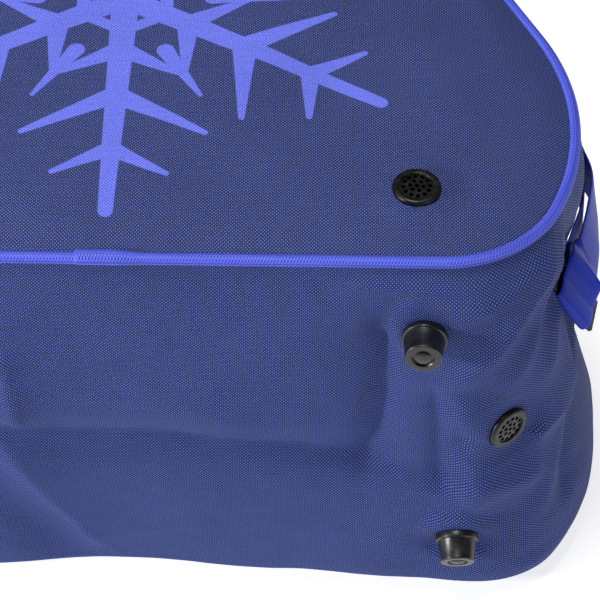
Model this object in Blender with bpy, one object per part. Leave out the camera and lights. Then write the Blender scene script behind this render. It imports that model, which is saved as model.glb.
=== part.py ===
# Ski boot bag lying on its back panel, made of separate sewn and fitted pieces.
# Metres, +Z up. X runs across the bag, +Y from its base to its carry handle, +Z out of its front panel.
import math

import bmesh
import bpy
import numpy as np
from mathutils import Matrix, Vector
from mathutils.bvhtree import BVHTree

# Overall form, between the centrelines of the piping
BAG_WIDTH = 0.406
BAG_HEIGHT = 0.348
BAG_DEPTH = 0.2185
BASE_CORNER_RADIUS = 0.053
HIP_RADIUS = 0.126
TOP_CORNER_RADIUS = 0.055
BASE_CORNER_TURN = math.radians(66)
FLANK_HEADING = math.radians(116.5)

# Cloth, piping and clearances
CLOTH = 0.002
PIPING_RADIUS = 0.0026
PIPING_OVERLAP_LENGTH = 0.028
PIPING_OVERLAP_RADIUS = 0.0031
GAP = 0.0003
SEAM_GAP = 0.0005
FLOOR_GAP = 0.0004
PANEL_DOME = 0.006
PANEL_MIDDLE = 0.47 * BAG_HEIGHT

# How far the stuffed walls swell and how high their folds stand
BULGE = 0.020
FOLD_HEIGHT = 0.005
FOLD_WIDTH = 0.012
SEAM_FADE = 0.06

# Spacing of the points of each sheet
STRAIGHT_STEP = 0.050
HIP_STEP = 0.021
BEND_STEP = 0.0125
BASE_STEP = 0.0163
TOP_STEP = 0.0210
WALL_STEP = 0.0170
STRIP_STEP = 0.028
STRAP_STEP = 0.010
FRAME_STEP = 0.012

# Zip opening
ZIP_END_HEIGHT = 0.190
ZIP_DEPTH = 0.080
ZIP_TAPE_WIDTH = 0.026
ZIP_TAPE_THICKNESS = 0.0012
COIL_WIDTH = 0.0066
COIL_HEIGHT = 0.0022
ZIP_SLIDER_LENGTH = 0.012
ZIP_SLIDER_WIDTH = 0.0095
ZIP_SLIDER_HEIGHT = 0.0026
ZIP_PULL_LENGTH = 0.030
ZIP_PULL_WIDTH = 0.0075
ZIP_PULL_THICKNESS = 0.0016

# Eyelets and feet
VENT_RADIUS = 0.0105
VENT_BARREL_RADIUS = 0.0080
VENT_BARREL_DEPTH = 0.0042
VENT_HEIGHT = 0.0023
VENT_DISC_RADIUS = 0.0071
VENT_DISC_THICKNESS = 0.0012
VENT_HOLE_RADIUS = 0.00085
VENT_DISC_LIFT = 0.0007
VENT_FROM_SIDE = 0.070
VENT_FROM_BASE = 0.037
SIDE_VENT_DEPTH = 0.1035
SIDE_VENT_TURN = math.radians(8)
SIDE_VENT_FROM_CORNER = 0.028
FOOT_RADIUS = 0.0100
FOOT_HEIGHT = 0.0130
FOOT_FROM_SIDE = 0.0655
FRONT_FOOT_DEPTH = 0.0385
REAR_FOOT_FROM_SIDE = 0.048
REAR_FOOT_FROM_BACK = 0.0455
REAR_FOOT_DROOP = math.radians(22)
PRESS_REACH = 0.016
PRESS_FADE = 0.012
CUTTER_BELOW = 0.008
CUTTER_ABOVE = 0.006
CUTTER_SIDES = 18
PROBE = 0.030

# Where the wall rolls under to the back seam, as shares of BAG_DEPTH
HEM_ROLL = (0.925, 0.965)

# Webbing
WEBBING_WIDTH = 0.025
WEBBING_THICKNESS = 0.0016
STRAP_STANDOFF = 0.012
STRAP_SEAT = 0.0010
SLIDE_LENGTH = 0.033
SLIDE_HEIGHT = 0.0172
SLIDE_THICKNESS = 0.0024
SLIDE_RAIL = 0.0034
SLIDE_BAR = 0.0030
HANDLE_SPAN = 0.150
HANDLE_RISE = 0.020
HANDLE_DEPTH = 0.128

# Handle: place as a share of half the span, and rise as a share of HANDLE_RISE
HANDLE_COLUMNS = ("place", "rise")
HANDLE_SHAPE = (
    (1.00, 0.00),
    (0.83, 0.00),
    (0.65, 0.02),
    (0.52, 0.42),
    (0.36, 0.80),
    (0.18, 0.97),
    (0.00, 1.00),
)

# Swelling of the walls, as shares of BULGE, by depth below the front seam as a share of BAG_DEPTH
WALL_COLUMNS = ("depth", "base_middle", "base", "foot", "corner", "hip", "flank", "top")
WALL_PROFILE = (
    (0.000, 0.00, 0.00, 0.00, 0.00, 0.00, 0.00, 0.00),
    (0.050, 0.08, 0.08, 0.12, 0.20, 0.14, 0.06, 0.05),
    (0.100, 0.14, 0.15, 0.24, 0.42, 0.26, 0.12, 0.10),
    (0.200, 0.26, 0.28, 0.38, 0.54, 0.34, 0.20, 0.18),
    (0.350, 0.34, 0.38, 0.46, 0.55, 0.32, 0.30, 0.26),
    (0.500, 0.34, 0.42, 0.50, 0.58, 0.26, 0.36, 0.30),
    (0.650, 0.26, 0.40, 0.50, 0.74, 0.50, 0.42, 0.30),
    (0.780, 0.16, 0.36, 0.48, 1.02, 0.96, 0.44, 0.28),
    (0.880, 0.06, 0.30, 0.46, 1.20, 1.26, 0.42, 0.24),
    (0.950, -0.08, 0.20, 0.42, 1.24, 1.22, 0.34, 0.20),
    (0.975, -0.16, 0.12, 0.34, 1.12, 1.08, 0.26, 0.14),
    (1.000, -0.50, -0.22, -0.06, 0.60, 0.60, 0.00, -0.04),
)
# Where each column of the profile holds, as a share of the half outline from the middle of the base
WALL_STATIONS = {
    "base_middle": 0.0, "base": 0.12, "foot": 0.225, "corner": 0.305, "hip": 0.42, "flank": 0.62, "top": 0.95,
}

# Folds and hollows: ends along the half outline and in depth, width in FOLD_WIDTH, height in FOLD_HEIGHT
FOLD_COLUMNS = ("name", "from_along", "from_depth", "to_along", "to_depth", "width", "height", "left_share")
FOLDS = (
    ("corner_ridge", 0.230, 0.30, 0.238, 0.62, 0.9, 0.90, 0.7),
    ("foot_valley", 0.196, 0.24, 0.188, 0.56, 1.2, -0.90, 0.7),
    ("mid_crease_left", -0.100, 0.50, 0.086, 0.52, 0.9, -0.55, 0.0),
    ("mid_crease_right", 0.086, 0.52, 0.232, 0.62, 0.9, -0.70, 0.0),
    ("mid_shelf", -0.080, 0.40, 0.170, 0.43, 1.5, 0.45, 0.0),
    ("left_band", -0.068, 0.24, -0.064, 0.46, 0.9, 0.50, 0.0),
    ("left_sag", -0.100, 0.66, -0.045, 0.93, 1.8, -1.70, 0.0),
    ("under_vent_ridge", 0.240, 0.66, 0.300, 0.66, 1.0, 0.50, 0.6),
    ("corner_pull", 0.300, 0.07, 0.244, 0.27, 0.8, 0.40, 0.8),
    ("strap_hollow", 0.332, 0.20, 0.369, 0.36, 2.3, -2.90, 1.0),
    ("hip_crease", 0.336, 0.42, 0.318, 0.80, 1.0, -0.90, 0.8),
    ("hip_fold", 0.345, 0.57, 0.390, 0.50, 0.9, 0.60, 0.8),
    ("flank_sag", 0.520, 0.40, 0.560, 0.80, 2.0, -0.80, 1.0),
    ("left_corner_crease", -0.270, 0.38, -0.290, 0.66, 1.0, -0.70, 0.0),
)

# Strap loop: place along the half outline, depth share, lift in STRAP_STANDOFF, roll in degrees
LOOP_COLUMNS = ("along", "depth", "lift", "roll")
LOOP_OUTER = (
    (0.520, 0.262, 0.17, 0.0),
    (0.490, 0.258, 0.18, 0.0),
    (0.468, 0.252, 0.22, 2.0),
    (0.450, 0.248, 0.30, 5.0),
    (0.430, 0.248, 0.48, 12.0),
    (0.405, 0.254, 0.58, 26.0),
    (0.382, 0.264, 0.90, 38.0),
)
LOOP_INNER = (
    (0.382, 0.262, 0.28, 22.0),
    (0.405, 0.250, 0.10, 12.0),
    (0.430, 0.246, 0.03, 6.0),
    (0.455, 0.250, 0.00, 2.0),
    (0.480, 0.256, 0.00, 0.0),
    (0.516, 0.262, 0.00, 0.0),
)
SLIDE_ALONG = 0.336
SLIDE_DEPTH = 0.280
SLIDE_LIFT = 0.90
SLIDE_ROLL = 29.0

# Shoulder strap: its route over the flanks and top
STRAP_COLUMNS = ("along", "depth")
STRAP_ROUTE = (
    (0.532, 0.350),
    (0.552, 0.430),
    (0.578, 0.540),
    (0.625, 0.665),
    (0.710, 0.765),
    (0.820, 0.800),
    (1.000, 0.805),
)

# Dome of the panels by distance from the seam, as a share of the way to the middle
DOME_COLUMNS = ("inset", "rise")
DOME = (
    (0.00, 0.00),
    (0.06, 0.42),
    (0.18, 0.78),
    (0.45, 0.97),
)

# Turned profiles: radius and height shares, from the wall outwards
FOOT_COLUMNS = ("radius", "height")
FOOT_PROFILE = (
    (0.00, 0.00),
    (1.00, 0.00),
    (1.00, 0.22),
    (0.89, 0.29),
    (0.77, 0.95),
    (0.72, 1.00),
    (0.50, 1.00),
    (0.47, 0.95),
    (0.40, 0.95),
    (0.36, 1.00),
    (0.00, 1.04),
)

# Eyelet holes: rings of them by radius, as a share of VENT_DISC_RADIUS, and number
RING_COLUMNS = ("radius", "holes")
VENT_RINGS = (
    (0.00, 1),
    (0.40, 6),
    (0.80, 12),
)

NAVY = (0.045, 0.055, 0.165)
PERIWINKLE = (0.15, 0.17, 0.72)
ROYAL = (0.021, 0.047, 0.34)
BLACK = (0.012, 0.012, 0.013)
ZIP_NAVY = (0.02, 0.025, 0.08)


def named(rows, columns):
    """Rows of a table as dictionaries by column name."""
    return [dict(zip(columns, row)) for row in rows]


def interpolate(rows, columns, key, name, value):
    """Read one column of a table at a value of its key column."""
    i, j = columns.index(key), columns.index(name)
    return float(np.interp(value, [row[i] for row in rows], [row[j] for row in rows]))


def outline_runs():
    """The half outline as runs of length, radius (0 when straight) and the heading each starts with."""
    corner, hip, top = BASE_CORNER_RADIUS, HIP_RADIUS, TOP_CORNER_RADIUS
    base_half = BAG_WIDTH / 2 - corner * math.sin(BASE_CORNER_TURN) - hip * (1 - math.sin(BASE_CORNER_TURN))
    corner_rise = corner * (1 - math.cos(BASE_CORNER_TURN))
    hip_rise = hip * (math.cos(BASE_CORNER_TURN) - math.cos(FLANK_HEADING))
    top_rise = top * (1 + math.cos(FLANK_HEADING))
    flank = (BAG_HEIGHT - corner_rise - hip_rise - top_rise) / math.sin(FLANK_HEADING)
    widest = BAG_WIDTH / 2 - hip * (1 - math.sin(FLANK_HEADING))
    top_half = widest + flank * math.cos(FLANK_HEADING) - top * math.sin(FLANK_HEADING)
    return (
        (base_half, 0.0, 0.0),
        (corner * BASE_CORNER_TURN, corner, 0.0),
        (hip * (FLANK_HEADING - BASE_CORNER_TURN), hip, BASE_CORNER_TURN),
        (flank, 0.0, FLANK_HEADING),
        (top * (math.pi - FLANK_HEADING), top, FLANK_HEADING),
        (top_half, 0.0, math.pi),
    )


RUNS = outline_runs()
HALF_OUTLINE = sum(run[0] for run in RUNS)
BACK_SEAM_Z = PIPING_RADIUS + FLOOR_GAP
FRONT_SEAM_Z = BACK_SEAM_Z + BAG_DEPTH


def outline(along):
    """Seam point (x, height above the base seam) and heading, at a signed share of the half outline."""
    side = -1.0 if along < 0 else 1.0
    left = abs(along) * HALF_OUTLINE
    x = y = 0.0
    heading = 0.0
    for length, radius, start in RUNS:
        step = min(left, length)
        heading = start
        if radius:
            heading = start + step / radius
            x += radius * (math.sin(heading) - math.sin(start))
            y += radius * (math.cos(start) - math.cos(heading))
        else:
            x += step * math.cos(start)
            y += step * math.sin(start)
        left -= step
        if left <= 0:
            break
    if abs(along) > 1:
        x -= (abs(along) - 1) * HALF_OUTLINE
    return side * x, y, heading, side


def along_at_height(height):
    """Share of the half outline where the flank reaches a height above the base seam."""
    low, high = 0.0, 1.0
    for _ in range(40):
        middle = (low + high) / 2
        if outline(middle)[1] < height:
            low = middle
        else:
            high = middle
    return low


def swell(along, depth):
    """Outward swelling of the wall, blended between the stations of the profile."""
    place = abs(along)
    names = list(WALL_STATIONS)
    places = [WALL_STATIONS[name] for name in names]
    values = [interpolate(WALL_PROFILE, WALL_COLUMNS, "depth", name, depth) for name in names]
    if place >= places[-1]:
        return values[-1] * BULGE
    index = max(i for i in range(len(places)) if places[i] <= place)
    share = (place - places[index]) / (places[index + 1] - places[index])
    share = share * share * (3 - 2 * share)
    return (values[index] * (1 - share) + values[index + 1] * share) * BULGE


def fold_lift(along, depth, row):
    """Height that one fold adds at a place on the wall."""
    here = np.array((along * HALF_OUTLINE, depth * BAG_DEPTH))
    start = np.array((row["from_along"] * HALF_OUTLINE, row["from_depth"] * BAG_DEPTH))
    end = np.array((row["to_along"] * HALF_OUTLINE, row["to_depth"] * BAG_DEPTH))
    run = end - start
    share = float(np.clip(np.dot(here - start, run) / np.dot(run, run), 0, 1))
    away = float(np.linalg.norm(here - start - run * share)) / (row["width"] * FOLD_WIDTH)
    return row["height"] * FOLD_HEIGHT * math.exp(-away * away)


def folds(along, depth):
    """All folds at a place. Those with a left share are repeated, that much weaker, on the left."""
    total = 0.0
    for row in named(FOLDS, FOLD_COLUMNS):
        total += fold_lift(along, depth, row)
        if row["left_share"]:
            total += row["left_share"] * fold_lift(-along, depth, row)
    seam_fade = min(1.0, depth / SEAM_FADE, (1 - depth) / SEAM_FADE)
    return total * max(seam_fade, 0.0)


def wall(along, depth):
    """Middle of the gusset's cloth at a share of the half outline and a share of the depth."""
    x, y, heading, side = outline(along)
    out = swell(along, depth) + folds(along, depth)
    return Vector((x + side * math.sin(heading) * out, y - math.cos(heading) * out, FRONT_SEAM_Z - depth * BAG_DEPTH))


def wall_frame(along, depth):
    """Point, direction along the outline, direction down the depth and outward normal of the wall."""
    along_step, depth_step = FRAME_STEP / HALF_OUTLINE, FRAME_STEP / BAG_DEPTH
    run = wall(along + along_step, depth) - wall(along - along_step, depth)
    down = wall(along, depth + depth_step) - wall(along, depth - depth_step)
    run.normalize()
    normal = down.cross(run).normalized()
    down = run.cross(normal).normalized()
    return wall(along, depth), run, down, normal


def link(name, mesh, colour, roughness, metallic=0.0):
    """Make an object of a mesh, with its own material."""
    obj = bpy.data.objects.new(name, mesh)
    bpy.context.collection.objects.link(obj)
    material = bpy.data.materials.new(name)
    material.use_nodes = True
    shader = material.node_tree.nodes["Principled BSDF"]
    shader.inputs["Base Color"].default_value = (*colour, 1.0)
    shader.inputs["Roughness"].default_value = roughness
    shader.inputs["Metallic"].default_value = metallic
    material.diffuse_color = (*colour, 1.0)
    if len(obj.data.materials) == 0:
        obj.data.materials.append(material)
    obj.material_slots[0].link = "OBJECT"
    obj.material_slots[0].material = material
    obj.parent = bag
    return obj


def finish_mesh(name, bm, smooth_angle=40):
    """Turn a bmesh into a mesh with outward faces, shaded smooth below an edge angle."""
    bmesh.ops.recalc_face_normals(bm, faces=bm.faces[:])
    mesh = bpy.data.meshes.new(name)
    bm.to_mesh(mesh)
    bm.free()
    mesh.shade_smooth()
    mesh.set_sharp_from_angle(angle=math.radians(smooth_angle))
    return mesh


def grid_mesh(name, rows):
    """Open sheet through rows of points."""
    bm = bmesh.new()
    made = [[bm.verts.new(point) for point in row] for row in rows]
    for lower, upper in zip(made, made[1:]):
        for i in range(len(lower) - 1):
            bm.faces.new((lower[i], lower[i + 1], upper[i + 1], upper[i]))
    mesh = bpy.data.meshes.new(name)
    bm.to_mesh(mesh)
    bm.free()
    mesh.shade_smooth()
    return mesh


def thicken(obj, thickness):
    """Give a sheet its thickness, half to each side."""
    solidify = obj.modifiers.new("thickness", "SOLIDIFY")
    solidify.thickness = thickness
    solidify.offset = 0.0
    solidify.use_even_offset = True
    return obj


def spaced(start, end, longest):
    """Even shares from start to end, no further apart than longest."""
    count = max(2, math.ceil(abs(end - start) / longest) + 1)
    return [float(value) for value in np.linspace(start, end, count)]


def wall_rows(first, longest):
    """Depth shares for a strip that reaches the back seam, closer together where it rolls under."""
    return spaced(first, HEM_ROLL[0], longest / BAG_DEPTH) + [HEM_ROLL[1], 1.0]


def outline_places():
    """Shares of the whole seam, closer together in its bends, from the middle of the base and round."""
    half = [0.0]
    at = 0.0
    for length, radius, _ in RUNS:
        longest = {0.0: STRAIGHT_STEP, HIP_RADIUS: HIP_STEP}.get(radius, BEND_STEP)
        half += [(at + value) / HALF_OUTLINE for value in spaced(0.0, length, longest)[1:]]
        at += length
    return half + [-value for value in reversed(half[1:-1])]


def seam_point(along, depth, inset=0.0):
    """Point of the front seam (depth 0) or back seam (depth 1), moved into its panel, and the way outwards."""
    x, y, heading, side = outline(along)
    outward = Vector((side * math.sin(heading), -math.cos(heading), 0.0))
    point = Vector((x, y, FRONT_SEAM_Z - depth * BAG_DEPTH)) + outward * (swell(along, depth) - inset)
    return point, outward


def hem_depth(along):
    """Depth share at which the rolled hem just clears the back piping."""
    seam = seam_point(along, 1.0)[0]
    low, high = HEM_ROLL[1], 1.0
    for _ in range(30):
        middle = (low + high) / 2
        if (wall(along, middle) - seam).length > PIPING_RADIUS + GAP:
            low = middle
        else:
            high = middle
    return low


def make_piping(name, depth, sides, places, overlap):
    """Piping as a tube along a seam, with the thicker stretch where its two ends overlap."""
    if overlap:
        half = overlap / 2 / HALF_OUTLINE
        step = 0.002 / HALF_OUTLINE
        places = [p for p in places if abs(p) > half + 2 * step or abs(p) > 0.5]
        places += [-half - step, -half, half, half + step]
        order = {place: place if place >= 0 else place + 2 for place in places}
        places = sorted(set(places), key=lambda place: order[place])
    bm = bmesh.new()
    rings = []
    for place in places:
        centre, outward = seam_point(place, depth)
        radius = PIPING_RADIUS
        if overlap and abs(place) * HALF_OUTLINE <= overlap / 2 + 1e-6:
            radius = PIPING_OVERLAP_RADIUS
        centre.z += radius - PIPING_RADIUS
        ring = []
        for i in range(sides):
            turn = math.tau * (i + 0.5) / sides
            offset = outward * math.cos(turn) * PIPING_RADIUS + Vector((0, 0, 1)) * math.sin(turn) * radius
            ring.append(bm.verts.new(centre + offset))
        rings.append(ring)
    for ring, following in zip(rings, rings[1:] + rings[:1]):
        for i in range(sides):
            j = (i + 1) % sides
            bm.faces.new((ring[i], ring[j], following[j], following[i]))
    return link(name, finish_mesh(name, bm, 70), PERIWINKLE, 0.6)


def make_front_panel():
    """Domed sheet inside the front piping, with a rim that dips to the seam."""
    inset = PIPING_RADIUS + GAP
    middle = Vector((0.0, PANEL_MIDDLE))
    bm = bmesh.new()
    rings = []
    for row in named(DOME, DOME_COLUMNS):
        ring = []
        for place in outline_places():
            flat = seam_point(place, 0.0, inset)[0].xy.lerp(middle, row["inset"])
            ring.append(bm.verts.new((flat.x, flat.y, FRONT_SEAM_Z + row["rise"] * PANEL_DOME)))
        rings.append(ring)
    for outer, inner in zip(rings, rings[1:]):
        for i in range(len(outer)):
            j = (i + 1) % len(outer)
            bm.faces.new((outer[i], outer[j], inner[j], inner[i]))
    crown = bm.verts.new((middle.x, middle.y, FRONT_SEAM_Z + PANEL_DOME))
    for i in range(len(rings[-1])):
        bm.faces.new((rings[-1][i], rings[-1][(i + 1) % len(rings[-1])], crown))
    panel = link("front_panel", finish_mesh("front_panel", bm), NAVY, 0.8)
    return thicken(panel, CLOTH)


def make_back_panel(places):
    """Flat sheet that the bag lies on."""
    bm = bmesh.new()
    rim = [bm.verts.new(seam_point(place, 1.0, PIPING_RADIUS + GAP)[0]) for place in places]
    for vert in rim:
        vert.co.z = 0.0
    bm.faces.new(rim)
    bmesh.ops.recalc_face_normals(bm, faces=bm.faces[:])
    solid = bmesh.ops.extrude_face_region(bm, geom=bm.faces[:])
    for item in solid["geom"]:
        if isinstance(item, bmesh.types.BMVert):
            item.co.z += CLOTH
    return link("back_panel", finish_mesh("back_panel", bm), NAVY, 0.8)


def make_strip(name, along_places, depths, colour=NAVY, thickness=CLOTH):
    """A strip of the wall as a sheet of cloth. A depth of 1 stands for the hem at the back piping."""
    rows = []
    for depth in depths:
        rows.append([press(wall(a, hem_depth(a) if depth == 1.0 else depth)) for a in along_places])
    strip = link(name, grid_mesh(name, rows), colour, 0.8)
    return thicken(strip, thickness)


def fitting_frames():
    """Place and outward direction of each foot and side vent on the wall."""
    frames = {}
    foot_along = (BAG_WIDTH / 2 - FOOT_FROM_SIDE) / HALF_OUTLINE
    rear_along = (BAG_WIDTH / 2 - REAR_FOOT_FROM_SIDE) / HALF_OUTLINE
    rear_depth = 1 - REAR_FOOT_FROM_BACK / BAG_DEPTH
    vent_along = (RUNS[0][0] + SIDE_VENT_FROM_CORNER) / HALF_OUTLINE
    for side, sign in (("right", 1), ("left", -1)):
        spots = (
            (f"foot_front_{side}", foot_along, FRONT_FOOT_DEPTH / BAG_DEPTH, 0.0, 0.0, FOOT_RADIUS),
            (f"foot_rear_{side}", rear_along, rear_depth, REAR_FOOT_DROOP, 0.0, FOOT_RADIUS),
            (f"vent_side_{side}", vent_along, SIDE_VENT_DEPTH / BAG_DEPTH, 0.0, SIDE_VENT_TURN, VENT_RADIUS),
        )
        for name, along, depth, droop, turn, radius in spots:
            point, _, down, normal = wall_frame(sign * along, depth)
            normal = normal * math.cos(droop) + down * math.sin(droop)
            normal = Matrix.Rotation(sign * turn, 3, "Z") @ normal.normalized()
            frames[name] = (point, normal, radius)
    return frames


def press(point):
    """Flatten the cloth under the hard fittings."""
    for centre, normal, radius in FITTINGS.values():
        away = (point - centre).length
        reach = radius + PRESS_REACH
        if away < reach:
            share = min(1.0, (reach - away) / PRESS_FADE)
            share = share * share * (3 - 2 * share)
            point = point - normal * (point - centre).dot(normal) * share
    return point


def surface_of(obj):
    """Search tree of an object's evaluated surface."""
    bpy.context.view_layer.update()
    return BVHTree.FromObject(obj, bpy.context.evaluated_depsgraph_get())


def seat_on(tree, centre, normal, radius):
    """Lowest place along the normal where a flat disc clears the cloth by the gap."""
    side = normal.orthogonal().normalized()
    other = normal.cross(side)
    highest = -PROBE
    for ring, count in ((0.0, 1), (0.5, 8), (0.85, 12), (1.0, 24)):
        for i in range(count):
            turn = math.tau * i / count
            offset = (side * math.cos(turn) + other * math.sin(turn)) * radius * ring
            hit = tree.ray_cast(centre + offset + normal * PROBE, -normal)[0]
            if hit is not None:
                highest = max(highest, (hit - centre).dot(normal))
    return centre + normal * (highest + GAP)


def turned(name, profile, segments):
    """Solid turned about Z from a profile that starts and ends on the axis."""
    bm = bmesh.new()
    edges = []
    verts = [bm.verts.new((radius, 0, height)) for radius, height in profile]
    for a, b in zip(verts, verts[1:]):
        edges.append(bm.edges.new((a, b)))
    bmesh.ops.spin(bm, geom=verts + edges, cent=(0, 0, 0), axis=(0, 0, 1), angle=math.tau,
                   steps=segments, use_merge=True)
    bmesh.ops.remove_doubles(bm, verts=bm.verts[:], dist=0.00001)
    return finish_mesh(name, bm, 35)


def upright(location, normal):
    """Matrix that stands a turned piece on a place, along an outward direction."""
    return Matrix.Translation(location) @ normal.to_track_quat("Z", "Y").to_matrix().to_4x4()


def cylinder_mesh(name, radius, low, high, sides, centres):
    """Closed prisms side by side, for cutting."""
    bm = bmesh.new()
    for x, y in centres:
        place = Matrix.Translation((x, y, (low + high) / 2))
        bmesh.ops.create_cone(bm, cap_ends=True, segments=sides, radius1=radius, radius2=radius,
                              depth=high - low, matrix=place)
    return finish_mesh(name, bm)


def make_cutter(name, matrix):
    """Hidden prism that cuts the hole for an eyelet's barrel."""
    radius = VENT_BARREL_RADIUS + GAP
    mesh = cylinder_mesh(name, radius, -CUTTER_BELOW, CUTTER_ABOVE, CUTTER_SIDES, ((0.0, 0.0),))
    cutter = bpy.data.objects.new(name, mesh)
    bpy.context.collection.objects.link(cutter)
    cutter.hide_render = True
    cutter.display_type = "WIRE"
    cutter.matrix_world = matrix
    cutter.parent = bag
    return cutter


def cut(obj, cutter):
    """Subtract a cutter from an object."""
    modifier = obj.modifiers.new("cut", "BOOLEAN")
    modifier.operation = "DIFFERENCE"
    modifier.solver = "EXACT"
    modifier.object = cutter


def vent_mesh():
    """Eyelet: rounded flange, barrel through the cloth, and a recessed disc with 19 holes."""
    disc_top = VENT_DISC_LIFT
    disc_low = disc_top - VENT_DISC_THICKNESS
    profile = (
        (0.0, disc_low),
        (VENT_DISC_RADIUS, disc_low),
        (VENT_DISC_RADIUS, -VENT_BARREL_DEPTH),
        (VENT_BARREL_RADIUS, -VENT_BARREL_DEPTH),
        (VENT_BARREL_RADIUS, 0.0),
        (VENT_RADIUS, 0.0),
        (VENT_RADIUS, VENT_HEIGHT * 0.4),
        ((VENT_RADIUS + VENT_BARREL_RADIUS) / 2, VENT_HEIGHT),
        (VENT_DISC_RADIUS, VENT_HEIGHT * 0.75),
        (VENT_DISC_RADIUS, disc_top),
        (0.0, disc_top),
    )
    blank = bpy.data.objects.new("vent_blank", turned("vent_blank", profile, 12))
    bpy.context.collection.objects.link(blank)
    centres = []
    for row in named(VENT_RINGS, RING_COLUMNS):
        ring = VENT_DISC_RADIUS * row["radius"]
        for i in range(row["holes"]):
            turn = math.tau * i / row["holes"]
            centres.append((ring * math.cos(turn), ring * math.sin(turn)))
    low, high = disc_low - VENT_DISC_THICKNESS, disc_top + VENT_DISC_THICKNESS
    drill_mesh = cylinder_mesh("vent_drill", VENT_HOLE_RADIUS, low, high, 5, centres)
    drill = bpy.data.objects.new("vent_drill", drill_mesh)
    bpy.context.collection.objects.link(drill)
    cut(blank, drill)
    bpy.context.view_layer.update()
    mesh = bpy.data.meshes.new_from_object(blank.evaluated_get(bpy.context.evaluated_depsgraph_get()))
    mesh.name = "vent"
    mesh.materials.clear()
    bpy.data.objects.remove(blank)
    bpy.data.objects.remove(drill)
    return mesh


def foot_mesh():
    """Bumper foot: flange, tapered body and an end face with a ring groove round a button."""
    rows = named(FOOT_PROFILE, FOOT_COLUMNS)
    profile = [(row["radius"] * FOOT_RADIUS, row["height"] * FOOT_HEIGHT) for row in rows]
    return turned("foot", profile, 12)


def smooth_route(points, steps):
    """Points along a smooth curve through the route's own points (Catmull-Rom)."""
    values = [np.array(point, dtype=float) for point in points]
    values = [2 * values[0] - values[1]] + values + [2 * values[-1] - values[-2]]
    made = []
    for i in range(1, len(values) - 2):
        before, start, end, after = values[i - 1], values[i], values[i + 1], values[i + 2]
        for k in range(steps):
            t = k / steps
            made.append(0.5 * (2 * start + (end - before) * t + (2 * before - 5 * start + 4 * end - after) * t ** 2
                               + (3 * start - before - 3 * end + after) * t ** 3))
    made.append(values[-2])
    return made


def ribbon_mesh(name, centres, width_ways, width, thickness):
    """Flat webbing along a list of points, each with the way its width runs."""
    bm = bmesh.new()
    rings = []
    for i, (centre, way) in enumerate(zip(centres, width_ways)):
        before, after = centres[max(i - 1, 0)], centres[min(i + 1, len(centres) - 1)]
        tangent = (after - before).normalized()
        way = (way - tangent * way.dot(tangent)).normalized()
        normal = tangent.cross(way)
        ring = []
        for across, up in ((-1, -1), (1, -1), (1, 1), (-1, 1)):
            ring.append(bm.verts.new(centre + way * across * width / 2 + normal * up * thickness / 2))
        rings.append(ring)
    for ring, following in zip(rings, rings[1:]):
        for i in range(4):
            j = (i + 1) % 4
            bm.faces.new((ring[i], ring[j], following[j], following[i]))
    bm.faces.new(rings[0])
    bm.faces.new(rings[-1])
    return finish_mesh(name, bm, 50)


def loop_point(along, depth, lift, roll, sign):
    """A point off the wall and the way the webbing's width runs there."""
    point, _, down, normal = wall_frame(sign * along, depth)
    turn = math.radians(roll)
    seat = CLOTH / 2 + WEBBING_THICKNESS / 2 + STRAP_SEAT
    return point + normal * (seat + lift * STRAP_STANDOFF), down * math.cos(turn) + normal * math.sin(turn)


def loop_places(rows, sign):
    """Points and width ways along one run of a strap loop."""
    return [loop_point(r["along"], r["depth"], r["lift"], r["roll"], sign) for r in named(rows, LOOP_COLUMNS)]


def slide_frame(sign):
    """Centre, width way, way up the strap and outward way of a slide."""
    centre, way = loop_point(SLIDE_ALONG, SLIDE_DEPTH, SLIDE_LIFT, SLIDE_ROLL, sign)
    up = loop_places(LOOP_OUTER, sign)[-1][0] - centre
    up = (up - way * up.dot(way)).normalized()
    outward = way.cross(up) if sign < 0 else up.cross(way)
    if outward.dot(Vector((sign, 0, 0))) < 0:
        outward = -outward
    return centre, way, up, outward


def make_strap_loop(side, sign):
    """Webbing loop: outer run down to the slide, over its middle bar, and back up beneath."""
    centre, way, up, outward = slide_frame(sign)
    bar = (SLIDE_HEIGHT - SLIDE_BAR) / 2
    slot = bar / 2
    clear = (SLIDE_THICKNESS + WEBBING_THICKNESS) / 2 + 3 * GAP
    behind = clear + WEBBING_THICKNESS + 2 * GAP
    below = bar + (SLIDE_BAR + WEBBING_THICKNESS) / 2 + 3 * GAP
    turn_in, turn_out, turn_clear = slot - 0.3 * SLIDE_BAR, slot + 0.3 * SLIDE_BAR, 0.72 * clear
    turn_below = below - WEBBING_THICKNESS / 3
    places = loop_places(LOOP_OUTER, sign)
    around = (
        (2.2 * bar, 1.5 * clear), (bar, clear), (turn_out, turn_clear), (slot, 0.0), (turn_in, -turn_clear),
        (0.0, -clear), (-turn_in, -turn_clear), (-slot, 0.0), (-turn_out, turn_clear), (-bar, clear),
        (-turn_below, turn_clear), (-below, 0.0), (-turn_below, -turn_clear), (-bar, -clear),
        (-slot, -behind), (slot, -behind), (1.3 * bar, -behind),
    )
    places += [(centre + up * rise + outward * out, way) for rise, out in around]
    places += loop_places(LOOP_INNER, sign)
    route = smooth_route([tuple(p) + tuple(w) for p, w in places], 2)
    centres = [Vector(row[:3]) for row in route]
    ways = [Vector(row[3:]) for row in route]
    mesh = ribbon_mesh(f"strap_loop_{side}", centres, ways, WEBBING_WIDTH, WEBBING_THICKNESS)
    return link(f"strap_loop_{side}", mesh, ROYAL, 0.6)


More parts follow.
